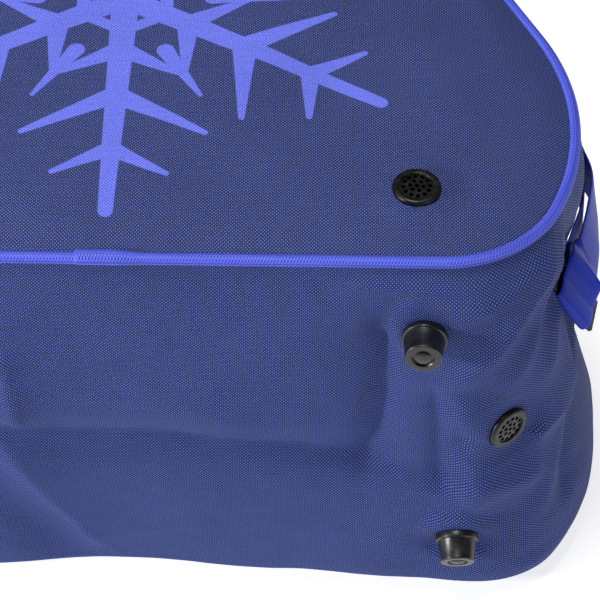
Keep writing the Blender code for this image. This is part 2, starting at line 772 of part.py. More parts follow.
def make_slide(side, sign):
    """Three-bar slide: a plate with two slots."""
    centre, way, up, outward = slide_frame(sign)
    xs = (-SLIDE_LENGTH / 2, -SLIDE_LENGTH / 2 + SLIDE_RAIL, SLIDE_LENGTH / 2 - SLIDE_RAIL, SLIDE_LENGTH / 2)
    ys = (-SLIDE_HEIGHT / 2, -SLIDE_HEIGHT / 2 + SLIDE_BAR, -SLIDE_BAR / 2, SLIDE_BAR / 2,
          SLIDE_HEIGHT / 2 - SLIDE_BAR, SLIDE_HEIGHT / 2)
    bm = bmesh.new()
    verts = [[bm.verts.new((x, y, -SLIDE_THICKNESS / 2)) for x in xs] for y in ys]
    for j in range(5):
        for i in range(3):
            if i == 1 and j in (1, 3):
                continue
            bm.faces.new((verts[j][i], verts[j][i + 1], verts[j + 1][i + 1], verts[j + 1][i]))
    solid = bmesh.ops.extrude_face_region(bm, geom=bm.faces[:])
    for item in solid["geom"]:
        if isinstance(item, bmesh.types.BMVert):
            item.co.z += SLIDE_THICKNESS
    slide = link(f"strap_slider_{side}", finish_mesh(f"strap_slider_{side}", bm), BLACK, 0.35)
    axes = Matrix((way, up, way.cross(up))).transposed().to_4x4()
    slide.matrix_world = Matrix.Translation(centre) @ axes
    return slide


def make_shoulder_strap():
    """Webbing that lies on the flanks and top between the two loops."""
    curve = smooth_route(STRAP_ROUTE, 6)
    start = STRAP_ROUTE[0][0]
    half = spaced(start, RIGHT_PLACES[0], STRAP_STEP / HALF_OUTLINE)[:-1] + RIGHT_PLACES
    depths = np.interp(half, [row[0] for row in curve], [row[1] for row in curve])
    half = list(zip(half, (float(value) for value in depths)))
    route = [(-a, d) for a, d in half] + [(a, d) for a, d in reversed(half[:-1])]
    rows = [[], []]
    for i, (along, depth) in enumerate(route):
        before, after = route[max(i - 1, 0)], route[min(i + 1, len(route) - 1)]
        run_along = ((after[0] - before[0] + 1) % 2 - 1) * HALF_OUTLINE
        run_depth = (after[1] - before[1]) * BAG_DEPTH
        length = math.hypot(run_along, run_depth)
        for k, across in enumerate((-0.5, 0.5)):
            a = along - run_depth / length * across * WEBBING_WIDTH / HALF_OUTLINE
            d = depth + run_along / length * across * WEBBING_WIDTH / BAG_DEPTH
            a = a - 2 if a > 1 else (a + 2 if a < -1 else a)
            point, _, _, normal = wall_frame(a, d)
            rows[k].append(point + normal * (CLOTH / 2 + WEBBING_THICKNESS / 2 + STRAP_SEAT))
    strap = link("shoulder_strap", grid_mesh("shoulder_strap", rows), ROYAL, 0.6)
    return thicken(strap, WEBBING_THICKNESS)


def make_handle():
    """Carry handle: webbing that lies on the top at both ends and arches between them."""
    depth = HANDLE_DEPTH / BAG_DEPTH
    seat = CLOTH / 2 + WEBBING_THICKNESS / 2 + STRAP_SEAT
    half = HANDLE_SPAN / 2
    centres, ways = [], []
    right = [(row["place"], row["rise"]) for row in named(HANDLE_SHAPE, HANDLE_COLUMNS)]
    left = [(-place, rise) for place, rise in right]
    for x, rise in smooth_route(left + right[-2::-1], 2):
        along = 1.0 - abs(x) * half / HALF_OUTLINE
        edge = WEBBING_WIDTH / 2 / BAG_DEPTH
        beside = [wall(along, depth + share * edge) for share in (-1, 0, 1)]
        seated = max(point.y for point in beside) + seat
        centres.append(Vector((x * half, seated + max(rise, 0.0) * HANDLE_RISE, beside[1].z)))
        ways.append(Vector((0, 0, 1)))
    mesh = ribbon_mesh("carry_handle", centres, ways, WEBBING_WIDTH, WEBBING_THICKNESS)
    return link("carry_handle", mesh, ROYAL, 0.6)


def make_zip(top_places):
    """Tape is made with the strips. This adds the coil, two sliders and their pulls."""
    middle = ZIP_DEPTH / BAG_DEPTH
    section = ((-0.5, 0.0), (-0.28, 1.0), (0.28, 1.0), (0.5, 0.0))
    bm = bmesh.new()
    rings = []
    for along in top_places:
        point, _, down, normal = wall_frame(along, middle)
        base = press(point) + normal * (ZIP_TAPE_THICKNESS / 2 + GAP)
        rings.append([bm.verts.new(base + down * w * COIL_WIDTH + normal * h * COIL_HEIGHT) for w, h in section])
    for ring, following in zip(rings, rings[1:]):
        for i in range(len(section)):
            j = (i + 1) % len(section)
            bm.faces.new((ring[i], ring[j], following[j], following[i]))
    bm.faces.new(rings[0])
    bm.faces.new(rings[-1])
    link("zip_coil", finish_mesh("zip_coil", bm, 60), BLACK, 0.4)
    for side, sign in (("right", 1), ("left", -1)):
        along = 1.0 - (ZIP_SLIDER_LENGTH / 2 + GAP) / HALF_OUTLINE
        point, run, down, normal = wall_frame(sign * along, middle)
        base = point + normal * (ZIP_TAPE_THICKNESS / 2 + COIL_HEIGHT + 3 * GAP)
        make_zip_slider(side, base, run, normal)
        make_zip_pull(side, base, down, normal)


def local_matrix(origin, x_way, y_way, z_way):
    """Matrix from three unit ways and an origin."""
    return Matrix.Translation(origin) @ Matrix((x_way, y_way, z_way)).transposed().to_4x4()


def make_zip_slider(side, base, run, normal):
    """Slider body with a raised bridge that holds its pull."""
    bm = bmesh.new()
    xs = [ZIP_SLIDER_LENGTH * share for share in (-0.5, -0.32, -0.18, 0.18, 0.32, 0.5)]
    ys = [ZIP_SLIDER_WIDTH * share for share in (-0.5, -0.16, 0.16, 0.5)]
    verts = [[bm.verts.new((x, y, ZIP_SLIDER_HEIGHT)) for x in xs] for y in ys]
    posts = []
    for j in range(3):
        for i in range(5):
            face = bm.faces.new((verts[j][i], verts[j][i + 1], verts[j + 1][i + 1], verts[j + 1][i]))
            if j == 1 and i in (1, 2, 3):
                posts.append(face)
    bmesh.ops.recalc_face_normals(bm, faces=bm.faces[:])
    body = bmesh.ops.extrude_face_region(bm, geom=bm.faces[:], use_keep_orig=True)
    for item in body["geom"]:
        if isinstance(item, bmesh.types.BMVert):
            item.co.z -= ZIP_SLIDER_HEIGHT
    bridge = bmesh.ops.extrude_face_region(bm, geom=posts)
    for item in bridge["geom"]:
        if isinstance(item, bmesh.types.BMVert):
            item.co.z += ZIP_SLIDER_HEIGHT * 0.8
    bmesh.ops.delete(bm, geom=posts, context="FACES")
    slider = link(f"zip_slider_{side}", finish_mesh(f"zip_slider_{side}", bm), BLACK, 0.35, 0.6)
    slider.matrix_world = local_matrix(base, run, normal.cross(run), normal)


def make_zip_pull(side, base, down, normal):
    """Pull tab that hangs from its slider towards the floor."""
    gap_at = ZIP_SLIDER_WIDTH * 0.16 + GAP
    half = ZIP_PULL_WIDTH / 2
    outline_points = (
        (gap_at, -0.7 * half), (ZIP_PULL_LENGTH * 0.25, -0.55 * half), (ZIP_PULL_LENGTH * 0.9, -half),
        (ZIP_PULL_LENGTH, -0.7 * half), (ZIP_PULL_LENGTH, 0.7 * half), (ZIP_PULL_LENGTH * 0.9, half),
        (ZIP_PULL_LENGTH * 0.25, 0.55 * half), (gap_at, 0.7 * half),
    )
    bm = bmesh.new()
    bm.faces.new([bm.verts.new((x, y, 0.0)) for x, y in outline_points])
    solid = bmesh.ops.extrude_face_region(bm, geom=bm.faces[:])
    for item in solid["geom"]:
        if isinstance(item, bmesh.types.BMVert):
            item.co.z += ZIP_PULL_THICKNESS
    pull = link(f"zip_pull_{side}", finish_mesh(f"zip_pull_{side}", bm), BLACK, 0.35, 0.6)
    origin = base + normal * (ZIP_SLIDER_HEIGHT + GAP)
    pull.matrix_world = local_matrix(origin, down, normal.cross(down), normal)


def centre_on_floor():
    """Move the whole bag so that the origin is under the middle of its bounding box."""
    bpy.context.view_layer.update()
    graph = bpy.context.evaluated_depsgraph_get()
    lows, highs = [], []
    for obj in bpy.context.scene.objects:
        if obj.type != "MESH" or obj.hide_render:
            continue
        shape = obj.evaluated_get(graph)
        corners = [obj.matrix_world @ vertex.co for vertex in shape.data.vertices]
        lows.append([min(corner[k] for corner in corners) for k in range(3)])
        highs.append([max(corner[k] for corner in corners) for k in range(3)])
    low, high = np.min(lows, axis=0), np.max(highs, axis=0)
    bag.location = (-(low[0] + high[0]) / 2, -(low[1] + high[1]) / 2, -low[2])


for old in list(bpy.data.objects):
    bpy.data.objects.remove(old)

bag = bpy.data.objects.new("bag", None)
bpy.context.collection.objects.link(bag)

# Cloth walls
FITTINGS = fitting_frames()
EDGE = (PIPING_RADIUS + SEAM_GAP) / BAG_DEPTH
SPLIT = along_at_height(ZIP_END_HEIGHT)
SPLIT_GAP = GAP / HALF_OUTLINE
TAPE_LOW = (ZIP_DEPTH - ZIP_TAPE_WIDTH / 2) / BAG_DEPTH
TAPE_HIGH = (ZIP_DEPTH + ZIP_TAPE_WIDTH / 2) / BAG_DEPTH
DEPTH_GAP = GAP / BAG_DEPTH

base_places = spaced(-SPLIT, SPLIT, BASE_STEP / HALF_OUTLINE)
RIGHT_PLACES = spaced(SPLIT + 2 * SPLIT_GAP, 1.0, TOP_STEP / HALF_OUTLINE)
top_places = RIGHT_PLACES + [-value for value in reversed(RIGHT_PLACES[:-1])]

front_panel = make_front_panel()
make_back_panel(base_places + top_places)
make_piping("piping_front", 0.0, 8, outline_places(), PIPING_OVERLAP_LENGTH)
make_piping("piping_back", 1.0, 5, base_places + top_places, 0.0)

base_gusset = make_strip("base_gusset", base_places, wall_rows(EDGE, WALL_STEP))
make_strip("top_gusset_front", top_places, spaced(EDGE, TAPE_LOW - DEPTH_GAP, STRIP_STEP / BAG_DEPTH))
make_strip("top_gusset_rear", top_places, wall_rows(TAPE_HIGH + DEPTH_GAP, STRIP_STEP))
make_strip("zip_tape", top_places, (TAPE_LOW, TAPE_HIGH), ZIP_NAVY, ZIP_TAPE_THICKNESS)

# Hard fittings, seated on the cloth as it was built
gusset_surface = surface_of(base_gusset)
panel_surface = surface_of(front_panel)
eyelet = vent_mesh()
foot = foot_mesh()
for name, (centre, normal, radius) in FITTINGS.items():
    seat = upright(seat_on(gusset_surface, centre, normal, radius), normal)
    if name.startswith("foot"):
        link(name, foot, BLACK, 0.4).matrix_world = seat
    else:
        link(name, eyelet, BLACK, 0.4).matrix_world = seat
        cut(base_gusset, make_cutter(f"cutter_{name}", seat))
for side, sign in (("right", 1), ("left", -1)):
    name = f"vent_front_{side}"
    above = Vector((sign * (BAG_WIDTH / 2 - VENT_FROM_SIDE), VENT_FROM_BASE, FRONT_SEAM_Z + PROBE))
    spot, normal, _, _ = panel_surface.ray_cast(above, Vector((0, 0, -1)))
    seat = upright(seat_on(panel_surface, spot, normal, VENT_RADIUS), normal)
    link(name, eyelet, BLACK, 0.4).matrix_world = seat
    cut(front_panel, make_cutter(f"cutter_{name}", seat))

# Webbing, slides, handle and zip
for side, sign in (("right", 1), ("left", -1)):
    make_strap_loop(side, sign)
    make_slide(side, sign)
make_shoulder_strap()
make_handle()
make_zip(top_places)
centre_on_floor()
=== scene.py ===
# Ski boot bag on its back: woven cloth, braided piping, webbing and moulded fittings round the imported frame.
# Metres, +Z up. X runs across the bag, +Y from its base to its handle, +Z out of its front panel.
import math

import bmesh
import bpy
import numpy as np
from mathutils import Matrix, Vector, noise


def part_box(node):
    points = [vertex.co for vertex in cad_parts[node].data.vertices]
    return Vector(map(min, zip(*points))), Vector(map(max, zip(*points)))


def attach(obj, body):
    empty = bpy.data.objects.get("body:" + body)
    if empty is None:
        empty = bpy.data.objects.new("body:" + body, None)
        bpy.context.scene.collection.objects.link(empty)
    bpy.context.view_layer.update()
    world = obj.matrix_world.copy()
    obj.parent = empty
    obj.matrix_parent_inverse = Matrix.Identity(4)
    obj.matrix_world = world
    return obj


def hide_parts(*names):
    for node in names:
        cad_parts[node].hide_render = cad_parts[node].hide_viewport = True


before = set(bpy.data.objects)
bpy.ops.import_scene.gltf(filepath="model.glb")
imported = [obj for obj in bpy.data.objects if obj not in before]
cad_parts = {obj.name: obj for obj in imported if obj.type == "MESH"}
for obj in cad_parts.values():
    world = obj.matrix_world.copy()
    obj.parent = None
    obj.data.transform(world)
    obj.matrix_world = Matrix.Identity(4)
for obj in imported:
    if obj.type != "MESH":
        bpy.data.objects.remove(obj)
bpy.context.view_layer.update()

MM = 0.001

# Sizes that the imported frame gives
PIPING_RADIUS = 2.6 * MM
piping_low, piping_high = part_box("piping_front")
back_low, back_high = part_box("piping_back")
PIPING_EDGE = PIPING_RADIUS * math.cos(math.pi / 8)  # the frame's piping has eight flat sides
BAG_WIDTH = piping_high.x - piping_low.x - 2 * PIPING_EDGE
BAG_HEIGHT = piping_high.y - piping_low.y - 2 * PIPING_EDGE
BASE_Y = piping_low.y + PIPING_EDGE
FRONT_SEAM_Z = piping_low.z + PIPING_EDGE
BACK_SEAM_Z = (back_low.z + back_high.z) / 2
BAG_DEPTH = FRONT_SEAM_Z - BACK_SEAM_Z

# Bends of the seam, as in the solids
BASE_CORNER_RADIUS = 53 * MM
HIP_RADIUS = 126 * MM
TOP_CORNER_RADIUS = 55 * MM
BASE_CORNER_TURN = math.radians(66)
FLANK_HEADING = math.radians(116.5)

# Cloth, webbing, zip and handle. The drawn cloth is a little thinner than its solid, so it never pokes out.
CLOTH = 2 * MM
DRAWN_CLOTH = 0.8 * CLOTH
BULGE = 20 * MM
PANEL_DOME = 6 * MM
PANEL_MIDDLE = 0.47 * BAG_HEIGHT
GUSSET_STEP = 2.0 * MM
TOP_STEP = 1.3 * GUSSET_STEP
PANEL_STEP = 2.4 * MM
WEBBING_WIDTH = 25 * MM
WEBBING_THICKNESS = 1.6 * MM
STRAP_STANDOFF = 12 * MM
STRAP_SEAT = 1.0 * MM
SLIDE_LENGTH = 33 * MM
SLIDE_HEIGHT = 17.2 * MM
SLIDE_THICKNESS = 2.4 * MM
SLIDE_RAIL = 3.4 * MM
SLIDE_BAR = 3.0 * MM
STRAP_LIFT = CLOTH / 2 + WEBBING_THICKNESS / 2 + STRAP_SEAT
ZIP_END_HEIGHT = 190 * MM
ZIP_DEPTH = 80 * MM
ZIP_TAPE_WIDTH = 26 * MM
TOOTH_PITCH = 1.5 * MM
HANDLE_SPAN = 150 * MM
HANDLE_RISE = 20 * MM
HANDLE_DEPTH = 128 * MM

# Swelling of the walls, as shares of BULGE, by depth as a share of BAG_DEPTH
WALL_COLUMNS = ("depth", "base_middle", "base", "foot", "corner", "hip", "flank", "top")
WALL_PROFILE = (
    (0.000, 0.00, 0.00, 0.00, 0.00, 0.00, 0.00, 0.00),
    (0.050, 0.08, 0.08, 0.12, 0.20, 0.14, 0.06, 0.05),
    (0.100, 0.14, 0.15, 0.24, 0.42, 0.26, 0.12, 0.10),
    (0.200, 0.26, 0.28, 0.38, 0.54, 0.34, 0.20, 0.18),
    (0.350, 0.34, 0.38, 0.46, 0.55, 0.32, 0.30, 0.26),
    (0.500, 0.34, 0.42, 0.50, 0.58, 0.26, 0.36, 0.30),
    (0.650, 0.26, 0.40, 0.50, 0.74, 0.50, 0.42, 0.30),
    (0.780, 0.16, 0.36, 0.48, 1.02, 0.96, 0.44, 0.28),
    (0.880, 0.06, 0.30, 0.46, 1.20, 1.26, 0.42, 0.24),
    (0.950, -0.08, 0.20, 0.42, 1.24, 1.22, 0.34, 0.20),
    (0.975, -0.16, 0.12, 0.34, 1.12, 1.08, 0.26, 0.14),
    (1.000, -0.50, -0.22, -0.06, 0.60, 0.60, 0.00, -0.04),
)
# Where each column of the profile holds, as a share of the half seam from the middle of the base
WALL_STATIONS = {
    "base_middle": 0.0, "base": 0.12, "foot": 0.225, "corner": 0.305, "hip": 0.42, "flank": 0.62, "top": 0.95,
}

# Folds of the gusset. A path's points are a share of the half seam and a share of the depth. Width and
# height are in mm, an edge of 1 is a sharp crease and 2 a soft roll, and mirror is its share on the left.
FOLD_COLUMNS = ("name", "path", "width", "height", "edge", "mirror")
FOLDS = (
    ("corner_ridge", ((0.240, 0.33), (0.252, 0.467), (0.256, 0.74)), 15, 8.0, 1.1, 0.7),
    ("corner_valley", ((0.227, 0.32), (0.233, 0.467), (0.236, 0.66)), 9, -8.5, 0.9, 0.7),
    ("foot_valley", ((0.194, 0.12), (0.193, 0.38), (0.181, 0.62)), 13, -11.0, 1.0, 0.7),
    ("mid_crease", ((-0.16, 0.49), (0.036, 0.51), (0.135, 0.543), (0.238, 0.61)), 13, -7.5, 1.1, 0.0),
    ("mid_shelf", ((-0.14, 0.41), (0.03, 0.43), (0.17, 0.45)), 18, 3.0, 2.0, 0.0),
    ("left_band", ((-0.072, 0.22), (-0.064, 0.48)), 9, 5.5, 1.1, 0.0),
    ("left_sag", ((-0.100, 0.62), (-0.052, 0.84)), 20, -6.5, 2.0, 0.0),
    ("left_sweep", ((-0.085, 0.50), (-0.05, 0.72), (-0.01, 0.93)), 10, 5.5, 1.1, 0.0),
    ("under_vent_ridge", ((0.240, 0.64), (0.262, 0.625), (0.300, 0.66)), 9, 3.6, 1.3, 0.6),
    ("corner_pull_long", ((0.318, 0.03), (0.285, 0.12), (0.236, 0.33)), 8, 6.0, 1.0, 0.8),
    ("corner_pull_mid", ((0.326, 0.04), (0.302, 0.16), (0.268, 0.36)), 7, 4.5, 1.0, 0.8),
    ("corner_pull_low", ((0.334, 0.05), (0.320, 0.20), (0.300, 0.40)), 6, 4.0, 1.0, 0.8),
    ("corner_pull_high", ((0.310, 0.03), (0.262, 0.10), (0.205, 0.15)), 5, 3.0, 1.2, 0.8),
    ("under_piping_roll", ((0.160, 0.050), (0.215, 0.057), (0.270, 0.052)), 5, 2.4, 1.3, 0.8),
    ("under_piping_fold", ((0.200, 0.090), (0.264, 0.098)), 5, 2.2, 1.2, 0.8),
    ("strap_hollow", ((0.332, 0.20), (0.369, 0.36)), 27.6, -14.5, 2.0, 1.0),
    ("hip_ridge", ((0.322, 0.20), (0.330, 0.38), (0.336, 0.545)), 13, 8.5, 1.0, 0.8),
    ("hip_crease", ((0.340, 0.56), (0.332, 0.68), (0.318, 0.84)), 10, -5.0, 1.1, 0.8),
    ("hip_fold", ((0.336, 0.56), (0.362, 0.525), (0.401, 0.49)), 8, 5.5, 1.1, 0.8),
    ("vent_valley", ((0.238, 0.48), (0.262, 0.495), (0.300, 0.520)), 10, -7.0, 1.05, 0.8),
    ("vent_shelf", ((0.286, 0.535), (0.312, 0.525), (0.338, 0.545)), 8, 4.5, 1.1, 0.8),
    ("vent_sweep", ((0.334, 0.57), (0.312, 0.67), (0.292, 0.80)), 8, 3.4, 1.2, 0.8),
    ("flank_sag", ((0.500, 0.30), (0.560, 0.85)), 24, -4.0, 2.0, 1.0),
    ("left_corner_crease", ((-0.270, 0.38), (-0.290, 0.66)), 12, -3.5, 1.4, 0.0),
)

# Strap loop: share of the half seam, share of the depth, lift in STRAP_STANDOFF and roll in degrees
LOOP_OUTER = (
    (0.520, 0.262, 0.17, 0.0),
    (0.490, 0.258, 0.18, 0.0),
    (0.468, 0.252, 0.22, 2.0),
    (0.450, 0.248, 0.30, 5.0),
    (0.430, 0.248, 0.48, 12.0),
    (0.405, 0.254, 0.58, 26.0),
    (0.382, 0.264, 0.90, 38.0),
)
LOOP_INNER = (
    (0.382, 0.262, 0.28, 22.0),
    (0.405, 0.250, 0.10, 12.0),
    (0.430, 0.246, 0.03, 6.0),
    (0.455, 0.250, 0.00, 2.0),
    (0.480, 0.256, 0.00, 0.0),
    (0.516, 0.262, 0.00, 0.0),
)
SLIDE_PLACE = (0.336, 0.280, 0.90, 29.0)
# Shoulder strap, from its sewn end to the middle of the top: share of the half seam and share of the depth
STRAP_ROUTE = (
    (0.532, 0.350),
    (0.552, 0.430),
    (0.578, 0.540),
    (0.625, 0.665),
    (0.710, 0.765),
    (0.820, 0.800),
    (1.000, 0.805),
)
# Handle, from its end to its middle: share of half its span and share of its rise
HANDLE_SHAPE = (
    (1.00, 0.00),
    (0.83, 0.00),
    (0.65, 0.02),
    (0.52, 0.42),
    (0.36, 0.80),
    (0.18, 0.97),
    (0.00, 1.00),
)
# Doming of the front panel, from its seam to its middle: share of the way and share of PANEL_DOME
DOME = ((0.00, 0.00), (0.06, 0.42), (0.18, 0.78), (0.45, 0.97), (1.00, 1.00))


def linear(code):
    """An sRGB hex colour as the linear colour that a shader takes."""
    parts = [int(code[i:i + 2], 16) / 255 for i in (1, 3, 5)]
    return tuple(v / 12.92 if v <= 0.04045 else ((v + 0.055) / 1.055) ** 2.4 for v in parts) + (1.0,)


def feed(tree, node, inputs):
    """Give each of a node's inputs a value or a link."""
    for key, value in dict(inputs).items():
        if isinstance(value, bpy.types.Node):
            value = next(output for output in value.outputs if output.enabled)
        if isinstance(value, bpy.types.NodeSocket):
            tree.links.new(value, node.inputs[key])
        else:
            node.inputs[key].default_value = value


def add(tree, kind, inputs=(), **settings):
    """Add a node with its settings and links. A colour mix takes its two colours at 6 and 7."""
    made = tree.nodes.new("ShaderNode" + kind)
    for name, value in settings.items():
        setattr(made, name, value)
    feed(tree, made, inputs)
    return made


def surface(name, **values):
    """A material whose uniform values sit on its shader, with its tree and that shader."""
    made = bpy.data.materials.new(name)
    made.use_nodes = True
    shader = made.node_tree.nodes["Principled BSDF"]
    feed(made.node_tree, shader, {key.replace("_", " "): value for key, value in values.items()})
    return made, made.node_tree, shader


def per(size_mm):
    """Repeats in a metre of a pattern whose features have a size in mm."""
    return 1 / (size_mm * MM)


# Materials

def weave(tree, pitch_across, pitch_along):
    """Plain weave on the flat cloth: 1 on the threads one way, -1 on those across them, 0 in the gaps."""
    place = add(tree, "Attribute", attribute_name="cloth").outputs["Vector"]
    # Threads wander up to 0.6 mm from straight over some 22 mm, as in any cloth that has been handled
    wander = add(tree, "TexNoise", {"Vector": place, "Scale": per(22.2), "Detail": 1.0}).outputs["Color"]
    drift = add(tree, "VectorMath", {0: wander, "Scale": 1.2 * MM}, operation="SCALE")
    moved = add(tree, "VectorMath", {0: place, 1: drift}, operation="ADD")
    counts = (math.pi / pitch_across, math.pi / pitch_along, 0.0)
    turns = add(tree, "VectorMath", {0: moved, 1: counts}, operation="MULTIPLY")
    waves = add(tree, "VectorMath", {0: turns}, operation="SINE")
    apart = add(tree, "SeparateXYZ", {0: waves})
    both = add(tree, "Math", {0: apart.outputs[0], 1: apart.outputs[1]}, operation="MULTIPLY")
    return place, both


def woven_polyester(name, gap_shade, thread, lit, pitch, print_dark=None, print_light=None):
    """600 denier polyester, plain woven and coated inside: matt threads with a faint sheen, painted shade in
    the gaps between them and a painted highlight on the threads that run one way.
    """
    made, tree, shader = surface(name, Roughness=0.6, IOR=1.5, Specular_IOR_Level=0.06)
    place, both = weave(tree, pitch, pitch)
    over = add(tree, "MapRange", {0: both, 1: -0.55, 2: 0.55})
    cover = add(tree, "Math", {0: both}, operation="ABSOLUTE")
    body = add(tree, "MapRange", {0: cover, 1: 0.0, 2: 0.55})
    # Threads one way take the lit colour, a painted highlight; the gaps between threads take the gap colour,
    # painted shade.
    ground = add(tree, "Mix", {0: over, 6: linear(thread), 7: linear(lit)}, data_type="RGBA")
    colour = add(tree, "Mix", {0: body, 6: linear(gap_shade), 7: ground}, data_type="RGBA")
    if print_dark:
        mask = snowflake_mask(tree, place)
        # The ink is also drawn lighter on the threads one way: a painted highlight.
        ink = add(tree, "Mix", {0: over, 6: linear(print_dark), 7: linear(print_light)}, data_type="RGBA")
        colour = add(tree, "Mix", {0: mask, 6: colour, 7: ink}, data_type="RGBA")
    # Uneven dyeing and slubs: soft clouds 59 mm across and single threads that are lighter or darker
    clouds = add(tree, "TexNoise", {"Vector": place, "Scale": per(58.8), "Detail": 3.0})
    stretch = add(tree, "VectorMath", {0: place, 1: (per(25.0), per(1.11), 1.0)}, operation="MULTIPLY")
    slubs = add(tree, "TexNoise", {"Vector": stretch, "Scale": 1.0, "Detail": 1.0})
    shade = add(tree, "MapRange", {0: clouds, 1: 0.3, 2: 0.7, 3: 0.94, 4: 1.06})
    streak = add(tree, "MapRange", {0: slubs, 1: 0.3, 2: 0.7, 3: 0.95, 4: 1.05})
    tone = add(tree, "Math", {0: shade, 1: streak}, operation="MULTIPLY")
    toned = add(tree, "VectorMath", {0: colour, "Scale": tone}, operation="SCALE")
    height = add(tree, "Math", {0: both, 1: 0.5, 2: cover}, operation="MULTIPLY_ADD")
    bump = add(tree, "Bump", {"Strength": 0.7, "Distance": 0.2 * MM, "Height": height})
    feed(tree, shader, {"Base Color": toned, "Normal": bump})
    return made


# Snowflake print, from the middle of the flake. A branch has its start on the arm, its length and its width.
FLAKE_MIDDLE = (0.002, 0.156)
FLAKE_ARM = (134 * MM, 6.4 * MM, 3.2 * MM)
FLAKE_BRANCHES = ((34 * MM, 32 * MM, 5.2 * MM), (64 * MM, 46 * MM, 5.6 * MM), (98 * MM, 28 * MM, 4.4 * MM))
FLAKE_BRANCH_TIP = 1.4 * MM
FLAKE_RAY = (40 * MM, 74 * MM, 4.0 * MM)
FLAKE_RAY_TIP = 1.0 * MM
FLAKE_HEXAGON = (19 * MM, 3.0 * MM)
INK_EDGE = 0.25 * MM


def snowflake_mask(tree, place):
    """A plain six-armed snowflake, a traditional winter ornament: 1 where the ink is."""
    off = add(tree, "VectorMath", {0: place, 1: (*FLAKE_MIDDLE, 0.0)}, operation="SUBTRACT")
    apart = add(tree, "SeparateXYZ", {0: off})
    reach = add(tree, "VectorMath", {0: off}, operation="LENGTH")
    angle = add(tree, "Math", {0: apart.outputs[0], 1: apart.outputs[1]}, operation="ARCTAN2")
    folded = add(tree, "Math", {0: angle, 1: math.pi / 6}, operation="PINGPONG")
    cosine = add(tree, "Math", {0: folded}, operation="COSINE")
    sine = add(tree, "Math", {0: folded}, operation="SINE")
    out = add(tree, "Math", {0: cosine, 1: reach}, operation="MULTIPLY")
    side = add(tree, "Math", {0: sine, 1: reach}, operation="MULTIPLY")
    point = add(tree, "CombineXYZ", {0: out, 1: side})
    ray_way = (math.cos(math.radians(30)), math.sin(math.radians(30)), 0.0)
    ray_start, ray_end, ray_width = FLAKE_RAY
    strokes = [((0.0, 0.0, 0.0), 0, *FLAKE_ARM)]
    for start, length, width in FLAKE_BRANCHES:
        strokes.append(((start, 0.0, 0.0), 60, length, width, FLAKE_BRANCH_TIP))
    ray_from = tuple(ray_start * part for part in ray_way)
    strokes.append((ray_from, 30, ray_end - ray_start, ray_width, FLAKE_RAY_TIP))
    nearest = None
    for start, degrees, length, wide, narrow in strokes:
        way = (math.cos(math.radians(degrees)), math.sin(math.radians(degrees)), 0.0)
        offset = add(tree, "VectorMath", {0: point, 1: start}, operation="SUBTRACT")
        run = add(tree, "VectorMath", {0: offset, 1: way}, operation="DOT_PRODUCT")
        share = add(tree, "MapRange", {0: run, 1: 0.0, 2: length})
        along = add(tree, "Math", {0: share, 1: length}, operation="MULTIPLY")
        foot = add(tree, "VectorMath", {0: way, "Scale": along}, operation="SCALE")
        away = add(tree, "VectorMath", {0: offset, 1: foot}, operation="DISTANCE")
        wide_here = add(tree, "MapRange", {0: share, 1: 0.0, 2: 1.0, 3: wide, 4: narrow})
        edge = add(tree, "Math", {0: away, 1: wide_here}, operation="SUBTRACT")
        nearest = edge if nearest is None else add(tree, "Math", {0: nearest, 1: edge}, operation="MINIMUM")
    hexagon = add(tree, "VectorMath", {0: point, 1: ray_way}, operation="DOT_PRODUCT")
    ring = add(tree, "Math", {0: hexagon, 1: FLAKE_HEXAGON[0]}, operation="SUBTRACT")
    ring = add(tree, "Math", {0: ring}, operation="ABSOLUTE")
    ring = add(tree, "Math", {0: ring, 1: FLAKE_HEXAGON[1]}, operation="SUBTRACT")
    nearest = add(tree, "Math", {0: nearest, 1: ring}, operation="MINIMUM")
    return add(tree, "MapRange", {0: nearest, 1: INK_EDGE, 2: -INK_EDGE})


def braided_cord(name, shade, body, lit):
    """Piping cord in a braided polyester cover: bright strands, with the light lost between them."""
    made, tree, shader = surface(name, Roughness=0.5, IOR=1.5, Specular_IOR_Level=0.25)
    relief = add(tree, "Attribute", attribute_name="relief").outputs["Fac"]
    low = add(tree, "MapRange", {0: relief, 1: 0.1, 2: 0.6})
    high = add(tree, "MapRange", {0: relief, 1: 0.5, 2: 1.0})
    ground = add(tree, "Mix", {0: low, 6: linear(shade), 7: linear(body)}, data_type="RGBA")
    colour = add(tree, "Mix", {0: high, 6: ground, 7: linear(lit)}, data_type="RGBA")
    place = add(tree, "Attribute", attribute_name="cloth").outputs["Vector"]
    fibre = add(tree, "TexNoise", {"Vector": place, "Scale": per(0.333), "Detail": 2.0})
    bump = add(tree, "Bump", {"Strength": 0.2, "Distance": 0.1 * MM, "Height": fibre})
    feed(tree, shader, {"Base Color": colour, "Normal": bump})
    return made


def woven_webbing(name, gap_shade, body, lit, across, along):
    """Webbing or tape, flat woven: a smooth face with fine ribs across it and a soft shine, painted shade
    between the yarns and a painted highlight on the yarns that run one way.
    """
    made, tree, shader = surface(name, Roughness=0.48, IOR=1.49, Specular_IOR_Level=0.25)
    _, both = weave(tree, along, across)
    cover = add(tree, "Math", {0: both}, operation="ABSOLUTE")
    body_share = add(tree, "MapRange", {0: cover, 1: 0.0, 2: 0.5})
    over = add(tree, "MapRange", {0: both, 1: -0.6, 2: 0.6})
    # Yarns one way take the lit colour, a painted highlight; the gaps between yarns take the gap colour,
    # painted shade.
    ground = add(tree, "Mix", {0: over, 6: linear(body), 7: linear(lit)}, data_type="RGBA")
    colour = add(tree, "Mix", {0: body_share, 6: linear(gap_shade), 7: ground}, data_type="RGBA")
    height = add(tree, "Math", {0: both, 1: 0.6, 2: cover}, operation="MULTIPLY_ADD")
    bump = add(tree, "Bump", {"Strength": 0.35, "Distance": 0.12 * MM, "Height": height})
    feed(tree, shader, {"Base Color": colour, "Normal": bump})
    return made


